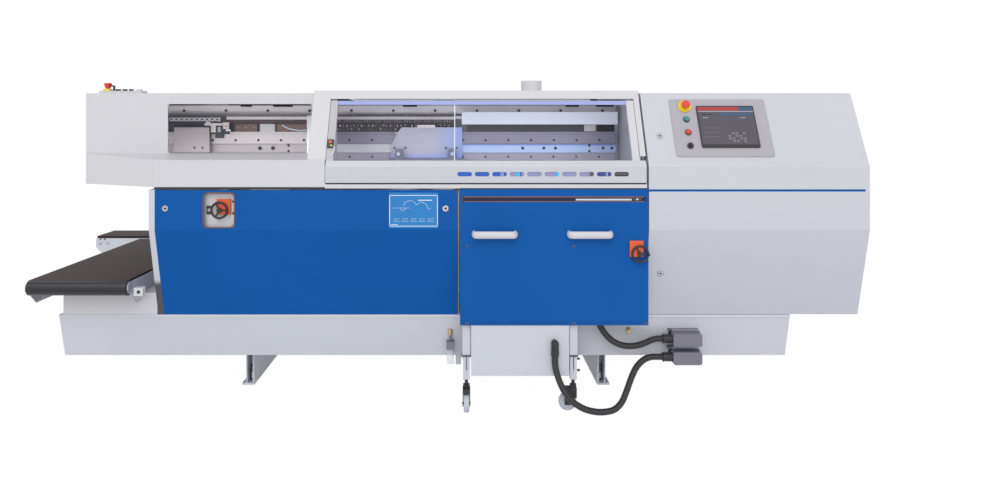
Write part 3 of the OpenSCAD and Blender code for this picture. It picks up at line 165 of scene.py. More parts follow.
def coat(name, rgb, rough=0.45, metal=0.0, grain=700.0, bump=0.08, tint=0.05, stretch=None, edge=0.0012,
         wear_and_highlight=0.0, vary=0.07, lacquer=0.0, patch=2.5, gloss=0.5):
    """Surface with mottled colour, fine grain in bump and roughness, and rounded edges, lightened partly as worn
    paint and partly as a painted highlight.
    """
    mat = bpy.data.materials.new(name)
    mat.use_nodes = True
    tree = mat.node_tree
    shader = tree.nodes["Principled BSDF"]
    coord = tree.nodes.new("ShaderNodeTexCoord").outputs["Object"]
    big = noise(tree, coord, patch, 3.0)
    fine = noise(tree, coord, grain, 2.0, stretch)
    colour = mixed(tree, spread(tree, big, 0, 1), tinted(rgb, 1 - tint), tinted(rgb, 1 + tint))
    colour = mixed(tree, spread(tree, fine, 0, 0.6, 0.45, 0.75), colour, tinted(rgb, 1 - tint * 1.5))
    normal = None
    if edge:
        round_edge = tree.nodes.new("ShaderNodeBevel")
        round_edge.samples = 4
        round_edge.inputs["Radius"].default_value = edge
        normal = round_edge.outputs["Normal"]
        # Lighter edges: partly worn paint, partly a painted highlight
        if wear_and_highlight:
            dot = tree.nodes.new("ShaderNodeVectorMath")
            dot.operation = "DOT_PRODUCT"
            geo = tree.nodes.new("ShaderNodeNewGeometry")
            link(tree, normal, dot.inputs[0])
            link(tree, geo.outputs["Normal"], dot.inputs[1])
            worn_and_lit = tuple(min(1.0, c + wear_and_highlight) for c in rgb[:3]) + (1.0,)
            colour = mixed(tree, spread(tree, dot.outputs["Value"], 0.8, 0.0, 0.8, 0.98), colour, worn_and_lit)
    link(tree, colour, shader.inputs["Base Color"])
    link(tree, spread(tree, fine, rough - vary, rough + vary), shader.inputs["Roughness"])
    shader.inputs["Metallic"].default_value = metal
    shader.inputs["Coat Weight"].default_value = lacquer
    shader.inputs["Specular IOR Level"].default_value = gloss
    lift = tree.nodes.new("ShaderNodeBump")
    lift.inputs["Strength"].default_value = bump
    lift.inputs["Distance"].default_value = MM
    link(tree, fine, lift.inputs["Height"])
    if normal:
        link(tree, normal, lift.inputs["Normal"])
    link(tree, lift.outputs["Normal"], shader.inputs["Normal"])
    return mat


def glow(name, rgb, strength, tint=0.15):
    """Coat that shines a little in its own colour."""
    mat = coat(name, rgb, 0.4, tint=tint, patch=6.0, edge=0)
    shader = mat.node_tree.nodes["Principled BSDF"]
    shader.inputs["Emission Color"].default_value = rgb
    shader.inputs["Emission Strength"].default_value = strength
    return mat


def clear(name, rgb, alpha, rough=0.03):
    """Clear sheet: mostly see-through, with gloss that grows at a shallow angle."""
    mat = bpy.data.materials.new(name)
    mat.use_nodes = True
    tree = mat.node_tree
    shader = tree.nodes["Principled BSDF"]
    coord = tree.nodes.new("ShaderNodeTexCoord").outputs["Object"]
    smear = noise(tree, coord, 9.0, 4.0, (1.0, 1.0, 0.3))
    shader.inputs["Base Color"].default_value = rgb
    shader.inputs["IOR"].default_value = 1.3
    edge = tree.nodes.new("ShaderNodeLayerWeight")
    edge.inputs["Blend"].default_value = 0.25
    link(tree, spread(tree, edge.outputs["Facing"], alpha, alpha + 0.16, 0.35, 1.0), shader.inputs["Alpha"])
    link(tree, spread(tree, smear, rough, rough + 0.08), shader.inputs["Roughness"])
    return mat


BRUSHED = (1.5, 40.0, 40.0)     # grain drawn out along x


def paint(name, rgb, tint=0.012):
    """Powder paint of the housing."""
    return coat(name, rgb, 0.42, bump=0.10, tint=tint, wear_and_highlight=0.05)


def steel(name, rgb, rough, metal, bump=0.05, tint=0.05, wear_and_highlight=0.1, grain=60.0):
    """Metal brushed along x."""
    return coat(name, rgb, rough, metal, grain, bump, tint, BRUSHED, wear_and_highlight=wear_and_highlight)


def plastic(name, rgb, rough, bump, tint, lacquer=0.0, wear_and_highlight=0.0):
    """Moulded plastic with a fine grain."""
    return coat(name, rgb, rough, 0.0, 900.0, bump, tint, lacquer=lacquer, wear_and_highlight=wear_and_highlight)


def ink(name, rgb, rough=0.35, tint=0.05, gloss=0.5):
    """Flat colour without rounded edges."""
    return coat(name, rgb, rough, tint=tint, edge=0, gloss=gloss)


# Paints
WHITE = paint("white_paint", lin(210, 209, 213))
GREY = paint("grey_paint", lin(203, 206, 213), 0.015)
BAR = paint("hood_bar_paint", lin(200, 201, 208))
COLUMN = paint("column_paint", lin(203, 206, 213), 0.015)
DOOR = paint("door_paint", lin(203, 204, 211))
FOOT = coat("foot_paint", lin(214, 217, 228), 0.45, tint=0.03, wear_and_highlight=0.05)
MID = coat("mid_grey_paint", lin(172, 175, 186), 0.45, tint=0.03, wear_and_highlight=0.05)
BLUE = coat("blue_paint", lin(0, 86, 164), 0.5, bump=0.05, tint=0.03, wear_and_highlight=0.06, gloss=0.16)

# Metals
STEEL = steel("ground_steel", lin(176, 173, 182), 0.34, 1.0, tint=0.06)
BRIGHT = steel("bright_steel", lin(214, 214, 218), 0.26, 1.0, 0.04, 0.04)
PALESTEEL = steel("pale_steel", lin(206, 199, 201), 0.4, 0.2, grain=50.0)
NIP = steel("nip_plate", lin(188, 180, 183), 0.4, 0.3, 0.06, 0.06, 0.15, 50.0)
RAIL_UP = steel("upper_rail", lin(205, 199, 203), 0.4, 0.2)
RAIL_LOW = steel("lower_rail", lin(176, 170, 186), 0.5, 0.2, wear_and_highlight=0.05)
BEAM_LIT = steel("lit_beam", lin(212, 212, 218), 0.4, 0.15, 0.04, 0.03, 0.0)
TOP_BAR = steel("top_bar", lin(236, 230, 232), 0.45, 0.1, tint=0.04, wear_and_highlight=0.05)
MIRROR = coat("polished_cheek", lin(176, 176, 186), 0.12, 1.0, 60.0, 0.01, 0.02, vary=0.02)
DARKSTEEL = coat("dark_steel", lin(92, 90, 96), 0.4, 0.9, 300.0, 0.06, 0.10, wear_and_highlight=0.12)
BRASS = coat("turned_brass", lin(196, 172, 120), 0.3, 1.0, 90.0, 0.04, 0.08, (40.0, 40.0, 2.0))
CAST = coat("cast_aluminium", lin(120, 118, 130), 0.5, 0.3, 260.0, 0.15, 0.06, wear_and_highlight=0.08)
CARRIAGE = coat("carriage_cast", lin(196, 194, 210), 0.5, 0.2, 30.0, 0.12, 0.05, (1.0, 12.0, 12.0), wear_and_highlight=0.08)
# Painted shade: the jaw is coloured darker than the carriage, so that its lugs fade into the dark
JAW = coat("jaw_cast", lin(126, 126, 142), 0.55, 0.1, 60.0, 0.05, 0.05)

# Plastics, rubbers and clear sheets
BLACK = plastic("black_plastic", lin(38, 37, 41), 0.46, 0.10, 0.10, wear_and_highlight=0.03)
RED = plastic("red_plastic", lin(226, 60, 44), 0.28, 0.02, 0.05, 0.4)
YELLOW = plastic("yellow_plastic", lin(242, 214, 40), 0.34, 0.03, 0.05, 0.2)
GREEN = plastic("green_plastic", lin(20, 150, 132), 0.26, 0.02, 0.05, 0.5)
ORANGE = plastic("orange_plastic", lin(232, 92, 44), 0.38, 0.05, 0.06)
PLATE = plastic("control_plate", lin(176, 172, 180), 0.38, 0.03, 0.02, wear_and_highlight=0.04)
WHEELGREY = coat("castor_tread", lin(196, 202, 212), 0.5, 0.0, 600.0, 0.08, 0.05)
RUBBER = coat("cable_rubber", lin(34, 32, 37), 0.42, 0.0, 500.0, 0.10, 0.12, edge=0)
SEAL = coat("seal_rubber", lin(40, 40, 44), 0.62, 0.0, 400.0, 0.12, 0.10, edge=0)
BELT = coat("belt_rubber", lin(62, 52, 50), 0.7, 0.0, 1500.0, 0.22, 0.14, edge=0, patch=2.2, gloss=0.1)
# The same belt rubber, darker and bluer where it bends round the front roller: painted shade
BELT_BEND_SHADE = coat("belt_bend_shade", lin(22, 21, 28), 0.42, 0.0, 1500.0, 0.12, 0.10, edge=0)
GLASS = clear("clear_pane", (0.55, 0.62, 0.78, 1.0), 0.02)
BOWL = clear("clear_bowl", (0.75, 0.80, 0.85, 1.0), 0.35, 0.1)

# Shadows, prints and lit surfaces
# Dark brown on the recess rim, slot lips, lock cores and some blocks
COPPER = coat("dark_brown", lin(120, 92, 82), 0.5, 0.2, 900.0, 0.1, 0.15)
DUSK = coat("machine_shadow", lin(66, 50, 50), 0.6, tint=0.25, patch=60.0)
NAVY = coat("shadow_blue", lin(20, 26, 70), 0.6, tint=0.1)
LILAC = coat("lit_header", lin(160, 172, 222), 0.5, tint=0.02)
CHEEK = coat("lit_cheek", lin(190, 187, 190), 0.5, tint=0.02)
SOOT = ink("brush_black", lin(14, 12, 12), 0.75, gloss=0.05)
PALE = ink("pale_print", lin(222, 232, 244), 0.5, 0.02)
SKY = ink("light_blue_print", lin(52, 132, 200), 0.5, 0.04, 0.2)
DISPLAY = ink("display_grey", lin(80, 76, 84))
GHOST = ink("display_marks", lin(124, 116, 124))
HEADER = ink("display_red", lin(168, 58, 58), tint=0.04)
TEAL = ink("display_blue", lin(54, 86, 124), tint=0.04)
LAMP = glow("lamp_white", lin(232, 236, 248), 0.10, 0.02)
LIT_BLUE = glow("lit_blue", lin(24, 84, 180), 0.15)
LIT_GREY = glow("lit_grey", lin(140, 144, 182), 0.06, 0.06)
LIT_CYAN = glow("lit_cyan", lin(0, 170, 226), 0.35)
LIT_NAVY = glow("lit_navy", lin(44, 58, 128), 0.1)


def light_and_shade_wash(mat, rgb, *ramps):
    """Blends a coat towards a colour along axes, to paint light and shade on it: each ramp has the axis, its clear
    place and its full place in mm.
    """
    tree = mat.node_tree
    socket = tree.nodes["Principled BSDF"].inputs["Base Color"]
    before = socket.links[0].from_socket
    parts = tree.nodes.new("ShaderNodeSeparateXYZ")
    link(tree, tree.nodes.new("ShaderNodeTexCoord").outputs["Object"], parts.inputs[0])
    fac = None
    for axis, start, end in ramps:
        part = spread(tree, parts.outputs[axis], 0.0, 1.0, start * MM, end * MM)
        fac = part if fac is None else computed(tree, "MULTIPLY", fac, part)
    link(tree, mixed(tree, fac, before, rgb), socket)


# Painted light and shade: under the hood the upper rail is darker in painted shade, and the beam and the carriage
# turn blue to the right in painted blue light, the beam deepest blue along its top and the carriage also towards its
# foot; in the left window the beam is duller in painted shade
light_and_shade_wash(RAIL_UP, lin(142, 136, 154), ("X", -560, -440))
light_and_shade_wash(BEAM_LIT, lin(184, 208, 248), ("X", 120, 215))
light_and_shade_wash(BEAM_LIT, lin(184, 178, 182), ("X", -480, -560))
light_and_shade_wash(BEAM_LIT, lin(54, 100, 214), ("Z", 1176, 1196), ("X", 120, 215))
light_and_shade_wash(CARRIAGE, lin(160, 176, 232), ("X", 40, 200))
light_and_shade_wash(CARRIAGE, lin(130, 156, 240), ("Z", 1150, 1095))
# Painted shade: the door darkens towards the floor, and the column beside the belt turns dark at its foot as a
# painted shadow gap
light_and_shade_wash(DOOR, lin(192, 195, 205), ("Z", 1050, 420))
light_and_shade_wash(COLUMN, lin(74, 70, 76), ("Z", 585, 560))


# ---- Coats of the solids ----
def skin(name, base, *rules):
    """Gives a CAD node its material, and others to the faces that a rule picks by centre (mm) and normal."""
    mesh = nodes[name].data
    mesh.materials.clear()
    for m in [base] + [r[0] for r in rules]:
        mesh.materials.append(m)
    for p in mesh.polygons:
        c = p.center / MM
        p.material_index = next((i + 1 for i, r in enumerate(rules) if r[1](c, p.normal)), 0)


def above(z):
    """Rule for the faces above a height."""
    return lambda c, n: c.z > z


def below(z):
    """Rule for the faces below a height."""
    return lambda c, n: c.z < z


def in_front(y):
    """Rule for the faces in front of a plane."""
    return lambda c, n: c.y < y


def raised(z):
    """Test whether a face stands out of the control plate, measured square to the sheet at a height."""
    plane = on_front(BUTTON_X, z).inverted()
    return lambda c: (plane @ c).y < COLLAR_Y


ONE_COAT = {
    WHITE: ("rear_panels", "extraction_spigot", "cabinet_shell", "pull_handles"),
    GREY: ("base_frame", "trolley_frame"),
    FOOT: ("foot_beams",),
    MID: ("connector_bases",),
    BLUE: ("left_cover",),
    STEEL: ("milling_cutter", "glue_roller", "front_roller", "rear_roller"),
    BRIGHT: ("cover_lock_left", "cover_lock_right", "door_lock_upper", "door_lock_lower"),
    DARKSTEEL: ("beam_bolts",),
    CAST: ("glue_tank",),
    CARRIAGE: ("clamp_carriage",),
    JAW: ("clamp_jaw",),
    BLACK: ("energy_chain", "left_handwheel", "trolley_handwheel", "touch_screen", "key_switch", "castor_fork_left",
            "castor_fork_right"),
    RED: ("stop_button", "estop_button", "top_estop"),
    GREEN: ("start_button",),
    WHEELGREY: ("castor_wheel_left", "castor_wheel_right", "rear_wheel_pair"),
    GLASS: ("window_pane", "hood_panes"),
}
for material, names in ONE_COAT.items():
    for node_name in names:
        skin(node_name, material)

# The numbers in the rules lie a little beside the edges of the faces that they pick
skin("leveling_bolts", DARKSTEEL, (BRIGHT, lambda c, n: 22 < c.z < 48 or c.z < 10))
skin("left_housing", WHITE, (BLACK, lambda c, n: c.z < 1015.9 and c.y < FRONT + 12))
# The column's front faces take the coat that carries a painted shadow gap at its foot
skin("lower_body", GREY, (COLUMN, lambda c, n: c.x < COVER_X and n.y < -0.5))
skin("portal_frame", WHITE, (MIRROR, lambda c, n: n.x < -0.9 and 990 < c.x < 1025))
skin("safety_hood", WHITE,
     (STEEL, lambda c, n: c.x < -413 or c.x > 1010 and c.z > 1200),
     (BAR, lambda c, n: c.z < 1150 and n.y < -0.3),
     (LILAC, lambda c, n: c.z > 1388 and c.x < 1009.5),
     (CHEEK, lambda c, n: c.z > 1160 and c.x < -377.5))
skin("guide_beams", STEEL,
     (RAIL_LOW, lambda c, n: LOW_RAIL[0] < c.z < LOW_RAIL[1] and n.y < -0.5),
     (BEAM_LIT, lambda c, n: MIDDLE_RAIL[0] < c.z < MIDDLE_RAIL[1] + 8.5 and n.y < -0.5),
     (TOP_BAR, above(TOP_RAIL)),
     (RAIL_UP, lambda c, n: UPPER_RAIL[0] < c.z < UPPER_RAIL[1]),
     (BRIGHT, lambda c, n: MIDDLE_RAIL[0] < c.z < MIDDLE_RAIL[1]),
     (DARKSTEEL, lambda c, n: n.y < -0.5 and c.y > RAIL_Y + 30))
skin("lamp_cover", LAMP, (BLACK, below(1293.5)))
skin("pressing_station", NIP, (BLACK, lambda c, n: -1106 < c.x < -1010 and c.z > 1200), (WHITE, below(1018.1)))
skin("milling_motor", MID, (STEEL, above(991)))
skin("recess_plate", WHITE, (ORANGE, in_front(FRONT + 23.9)))
skin("switchgear_plate", MID, (BLACK, in_front(284.4)), (STEEL, in_front(352)))
skin("cabinet_door", DOOR, (BLUE, lambda c, n: c.y < FRONT - 0.05 and c.z < 1007))
stands_high, stands_low = raised(ESTOP_Z), raised(START_Z)
skin("control_plate", PLATE,
     (YELLOW, lambda c, n: stands_high(c) and c.z > COLLAR_SPLIT),
     (DARKSTEEL, lambda c, n: stands_low(c) and c.z < COLLAR_SPLIT))
skin("top_control_box", GREY,
     (YELLOW, lambda c, n: c.z > BOX_LID and c.x < -1482),
     (WHITE, lambda c, n: c.z > BOX_LID and c.x > -1380),
     (BLACK, above(BOX_LID)))
skin("trolley_panel", BLUE, (ORANGE, in_front(FRONT - 0.05)))
skin("electrical_box", GREY,
     (BRIGHT, lambda c, n: c.y < FRONT + 3.95 and abs(c.x - 620) > 30),
     (RUBBER, in_front(FRONT + 3.95)))
skin("belt_frame", MID,
     (WHITE, lambda c, n: c.z < 515.2 and c.y < 480),
     (STEEL, lambda c, n: BELT_X + 2 < c.x < BELT_END - 2 and c.z > 500))
# The belt's faces turned to the front take its painted shade
skin("conveyor_belt", BELT, (BELT_BEND_SHADE, lambda c, n: n.y < -0.25))
skin("rear_outfeed", GREY, (BELT, above(589.5)), (STEEL, in_front(512.4)))
skin("connector_hoods", CAST, (BLACK, lambda c, n: c.x < SOCKET_X + 1.5))
skin("air_service_unit", CAST,
     (BOWL, lambda c, n: c.z < 253.9 and c.x < 400),
     (BRASS, lambda c, n: c.z > 318.5 or c.x > 400))


# ---- Small geometry kit, in millimetres ----
AXES = {"x": Vector((1, 0, 0)), "y": Vector((0, 1, 0)), "z": Vector((0, 0, 1))}


def turned(place, axis):
    """Frame at a place, with its z along an axis."""
    return Matrix.Translation(place) @ axis.to_track_quat("Z", "Y").to_matrix().to_4x4()


class Shape:
    """Collects solids in millimetres, each with its own material, into one piece."""

    def __init__(self, at=None):
        self.bm = bmesh.new()
        self.at = at or Matrix.Identity(4)
        self.mats = []

    def _own(self, verts, mat, smooth=False):
        """Gives new vertices' faces their material, and puts them in the shape's own frame."""
        if mat not in self.mats:
            self.mats.append(mat)
        k = self.mats.index(mat)
        for f in {f for v in verts for f in v.link_faces}:
            f.material_index = k
            f.smooth = smooth
        bmesh.ops.transform(self.bm, matrix=self.at, verts=verts)

    def box(self, a, b, mat):
        """Box between two corners."""
        size = Vector(b) - Vector(a)
        m = Matrix.Translation((Vector(a) + Vector(b)) / 2) @ Matrix.Diagonal((*size, 1))
        self._own(bmesh.ops.create_cube(self.bm, size=1, matrix=m)["verts"], mat)
        return self

    def cyl(self, p, axis, r, h, mat, seg=24):
        """Cylinder from the middle of one end, along an axis; with few segments it keeps its edges."""
        m = turned(Vector(p) + AXES[axis] * (h / 2), AXES[axis])
        made = bmesh.ops.create_cone(self.bm, cap_ends=True, segments=seg, radius1=r, radius2=r, depth=h, matrix=m)
        self._own(made["verts"], mat, seg > 12)
        return self

    def ring(self, p, axis, r, thick, mat, seg=40, sides=10):
        """Ring of a round bar about an axis."""
        m = turned(Vector(p), AXES[axis])
        rows = []
        for i in range(seg):
            a = 2 * math.pi * i / seg
            row = []
            for b in (2 * math.pi * j / sides for j in range(sides)):
                reach = r + thick * math.cos(b)
                place = Vector((reach * math.cos(a), reach * math.sin(a), thick * math.sin(b)))
                row.append(self.bm.verts.new(m @ place))
            rows.append(row)
        for row, after in zip(rows, rows[1:] + rows[:1]):
            for j in range(sides):
                k = (j + 1) % sides
                self.bm.faces.new((row[j], after[j], after[k], row[k]))
        self._own([v for row in rows for v in row], mat, True)
        return self

    def prism(self, outline, axis, a, b, mat):
        """Outline of 2-D points pushed along an axis from a to b; the two other axes keep their order."""
        def place(u, v, w):
            return {"x": (w, u, v), "y": (u, w, v), "z": (u, v, w)}[axis]
        low = [self.bm.verts.new(place(u, v, a)) for u, v in outline]
        high = [self.bm.verts.new(place(u, v, b)) for u, v in outline]
        n = len(outline)
        self.bm.faces.new(low)
        self.bm.faces.new(list(reversed(high)))
        for i in range(n):
            self.bm.faces.new((low[i], high[i], high[(i + 1) % n], low[(i + 1) % n]))
        self._own(low + high, mat)
        return self

    def tube(self, points, r, mat, seg=12, ends=True):
        """Round bar along a line; the radius is a number or a function of the point's place in the line."""
        rows, n = [], len(points)
        radius = r if callable(r) else (lambda i: r)
        side = None
        for i, p in enumerate(points):
            t = (points[min(i + 1, n - 1)] - points[max(i - 1, 0)]).normalized()
            if side is None:
                side = t.orthogonal().normalized()
            side = (side - t * side.dot(t)).normalized()
            up = t.cross(side)
            rows.append([self.bm.verts.new(p + radius(i) * (math.cos(a) * side + math.sin(a) * up))
                         for a in (2 * math.pi * k / seg for k in range(seg))])
        for a, b in zip(rows, rows[1:]):
            for k in range(seg):
                self.bm.faces.new((a[k], a[(k + 1) % seg], b[(k + 1) % seg], b[k]))
        if ends:
            self.bm.faces.new(list(reversed(rows[0])))
            self.bm.faces.new(rows[-1])
        self._own([v for row in rows for v in row], mat, True)
        return self

    def done(self, name, body, bevel=0.0):
        """Ends the shape: a piece in metres that rides on a body."""
        bmesh.ops.recalc_face_normals(self.bm, faces=self.bm.faces)
        bmesh.ops.scale(self.bm, vec=(MM, MM, MM), verts=self.bm.verts)
        mesh = bpy.data.meshes.new(name)
        self.bm.to_mesh(mesh)
        self.bm.free()
        for m in self.mats:
            mesh.materials.append(m)
        piece = bpy.data.objects.new(name, mesh)
        scene.collection.objects.link(piece)
        if bevel:
            soft = piece.modifiers.new("edges", "BEVEL")
            soft.width, soft.segments, soft.limit_method = bevel * MM, 2, "ANGLE"
            soft.angle_limit = math.radians(40)
        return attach(piece, body)


def smooth_route(points, steps):
    """Catmull-Rom curve through the points."""
    p = [Vector(q) for q in points]
    n, out = len(p), []
    for i in range(n - 1):
        a, b, c, d = p[max(i - 1, 0)], p[i], p[i + 1], p[min(i + 2, n - 1)]
        for k in range(steps):
            t = k / steps
            out.append(0.5 * (2 * b + (c - a) * t + (2 * a - 5 * b + 4 * c - d) * t * t
                              + (3 * b - a - 3 * c + d) * t ** 3))
    return out + [p[-1]]


# ---- Cords: two corrugated cables from the trolley to the base's connectors ----
def at_front(route):
    """Route of points whose middle number is the depth behind the covers."""
    return [(x, FRONT + d, z) for x, d, z in route]


UPPER_ROUTE = at_front([(820, 60, 422), (823, 60, 404), (833, 60, 384), (847, 61, 357), (868, 64, 328),
                        (899, 69, 301), (936, 75, 283), (974, 81, 276), (1013, 86, 278), (1050, 91, 288),
                        (1080, 96, 300), (1106, 97, 306), (1118, 97, 306), (1131, 97, 306)])
LOWER_ROUTE = at_front([(620, -22, 262), (620, -22, 246), (620, -22, 230), (625, -26, 196), (640, -36, 150),
                        (664, -46, 104), (700, -48, 64), (748, -46, 35), (800, -40, 20), (846, -34, 18),
                        (888, -24, 26), (922, -10, 54), (948, 10, 98), (972, 32, 144), (1002, 58, 186),
                        (1040, 82, 212), (1076, 96, 221), (1106, 97, 222), (1118, 97, 222), (1131, 97, 222)])
CABLE_R, RIDGE, GROOVE = 15.0, 6.0, 1.6     # radius, and the pitch and depth of the corrugation
WAVE = (0.0, 0.45, 1.0, 0.45)               # its height at each quarter of the pitch, as a share of the depth


def even(points, step):
    """The same line with a point at every step."""
    out, left = [points[0]], step
    for a, b in zip(points, points[1:]):
        length = (b - a).length
        while length >= left:
            a = a + (b - a) * (left / length)
            length = (b - a).length
            out.append(a)
            left = step
        left -= length
    return out + [points[-1]]


def cable(name, route):
    """Corrugated cable along a route."""
    line = even(smooth_route(route, 12), RIDGE / len(WAVE))
    shape = Shape().tube(line, lambda i: CABLE_R - GROOVE * (1 - WAVE[i % len(WAVE)]), RUBBER, 16)
    piece = shape.done(name, "trolley")
    return piece


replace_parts(cable("cord_upper", UPPER_ROUTE), "cable_upper")
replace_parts(cable("cord_lower", LOWER_ROUTE), "cable_lower")


# ---- Fine parts ----
def rounded(x0, x1, z0, z1, r, y, steps=6):
    """Closed path of a rectangle with round corners, in a plane at y."""
    path = []
    for cx, cz, start in ((x1 - r, z1 - r, 0), (x0 + r, z1 - r, 90), (x0 + r, z0 + r, 180), (x1 - r, z0 + r, 270)):
        for k in range(steps + 1):
            turn = math.radians(start + 90 * k / steps)
            path.append(Vector((cx + r * math.cos(turn), y, cz + r * math.sin(turn))))
    return path + path[:2]


def socket_head(s, x, face, z, r, height, socket):
    """Screw head with a hexagon socket, standing forward of a face."""
    s.cyl((x, face - height, z), "y", r, height - 0.05, DARKSTEEL, seg=18)
    s.cyl((x, face - height - 0.3, z), "y", socket, 0.3, BLACK, seg=6)


# ---- Cabinet: the display, with fields of no meaning ----
def display():
    half_w, half_h, glass = 128.0, 101.0, -13.0
    s = Shape(on_front(*SCREEN))

    def patch(x0, x1, z0, z1, mat, level=2):
        front = glass - 0.3 * level
        s.box((x0, front, z0), (x1, front + 0.28, z1), mat)

    patch(-half_w, half_w, -half_h, half_h, DISPLAY, 1)
    patch(-half_w, 62, half_h - 20, half_h, HEADER)
    patch(62, half_w, half_h - 20, half_h, TEAL)
    patch(-half_w, half_w, half_h - 26, half_h - 22, MID)
    patch(-38, half_w, half_h - 44, half_h - 33, TEAL)
    patch(-112, -60, half_h - 42, half_h - 36, BLACK)
    patch(-110, -84, half_h - 58, half_h - 55, MID)
    patch(62, 88, half_h - 58, half_h - 55, MID)
    for column in range(5):
        for row in range(4):
            x, z = -6 + 17 * column, -80 + 13 * row
            patch(x, x + 13, z, z + 9, GHOST if (column + row) % 3 else DISPLAY)
    for row in range(3):
        patch(-112, -40, -10 - 22 * row, -8 - 22 * row, GHOST)
    patch(-half_w, half_w, -half_h, -half_h + 9, BLACK)
    s.done("display", "door")


# ---- Hood: lit strips behind the ten slots of its bar ----
def slot_lights():
    s = Shape()
    first, pitch, half_w, half_h, z = PANEL_X + 21, 78.5, 36.0, 13.0, 1074.0
    y = FRONT + SHEET + 0.4
    looks = [LIT_BLUE] * 3 + [LIT_GREY] * 5 + [LIT_NAVY, BLACK]
    for i, mat in enumerate(looks):
        x = first + i * pitch
        s.box((x - half_w, y, z - half_h), (x + half_w, y + 1.0, z + half_h), mat)
    # Marks in front of the strips: slot, start and end from its middle, half height, coat
    for i, a, b, tall, mat in ((2, 4, 20, half_h, LIT_GREY), (3, 0, 14, half_h, LIT_CYAN),
                               (3, 14, 20, half_h, LIT_NAVY), (5, 20, 36, half_h, LIT_CYAN),
                               (7, 14, 36, half_h, DARKSTEEL), (8, 8, 18, half_h, LIT_GREY),
                               (9, -30, 30, 3.0, DARKSTEEL)):
        x = first + i * pitch
        s.box((x + a, y - 0.3, z - tall), (x + b, y, z + tall), mat)
    s.done("slot_lights", "hood")


# ---- Left cover: the light-blue plate, with lines of no meaning ----
def diagram():
    x0, x1, z0, z1, face = -125.0, 97.0, 832.0, 991.0, FRONT - 0.05
    paper, pen = face - 0.5, 3.0
    s = Shape().box((x0, paper, z0), (x1, face, z1), SKY)
    left, right, low, high = x0 + 2, x1 - 2, z0 + 7, z1 - 11
    for a, b, c, d in ((left, low, right, low + pen), (left, high - pen, right, high),
                       (left, low, left + pen, high), (right - pen, low, right, high)):
        s.box((a, face - 0.8, b), (c, paper, d), PALE)

    def drawn(points, r=0.9):
        s.tube([Vector((x, face - 0.7, z)) for x, z in points], r, PALE, 6)

    drawn([(-30 + 30 * math.cos(math.radians(t)), 925 + 30 * math.sin(math.radians(t))) for t in range(20, 171, 10)])
    drawn([(-4, 935), (22, 950), (44, 938), (52, 916), (66, 922)])
    drawn([(-108, 922), (-30, 922)], 0.8)
    drawn([(-76, 920), (-64, 908), (-46, 920)], 0.8)
    s.box((6, face - 0.9, 955), (70, paper, 959), PALE)
    for x in range(-95, 58, 38):
        drawn([(x - 8, 862), (x, 876), (x + 9, 870), (x + 18, 876)])
        drawn([(x - 8, 862), (x + 22, 862)], 0.8)
    s.box((-115, face - 0.9, 846), (-85, paper, 849), PALE)
    s.done("diagram_plate", "cover")


# ---- Recess in the left cover: its rim, and the screws and the bracket on the plate behind it ----
def recess_trim():
    rim = rounded(-961.0, -819.0, 834.0, 990.0, 22, FRONT - 0.6)
    Shape().tube(rim, 3.2, COPPER, 8, False).done("recess_trim", "cover")
    s = Shape()
    back = FRONT + 24
    for z in (949, 896):
        s.cyl((-832, back - 3.2, z), "y", 5.0, 3.2, BLACK)
        s.cyl((-832, back - 3.6, z), "y", 2.4, 0.4, DARKSTEEL, seg=6)
    for z in (892, 918):
        s.box((-952, back - 6, z), (-934, back, z + 12), BLACK)
    s.box((-952, back - 4, 892), (-948, back, 930), BLACK)
    s.done("recess_screws", "machine")


# ---- Locks: ring, core and slot on each quarter-turn lock ----
def lock_trim():
    places = {"cover_lock_a": (-1131, 920), "cover_lock_b": (130, 920), "door_lock_a": (1111, 1243),
              "door_lock_b": (1111, 618)}
    for body, (x, z) in places.items():
        s = Shape(on_front(x, z))
        s.ring((0, -4.6, 0), "y", 12.0, 1.3, DARKSTEEL)
        s.cyl((0, -5.0, 0), "y", 6.0, 0.5, COPPER)
        s.box((-5, -5.6, -1.4), (5, -4.9, 1.4), BLACK)
        s.done("trim_" + body, body)


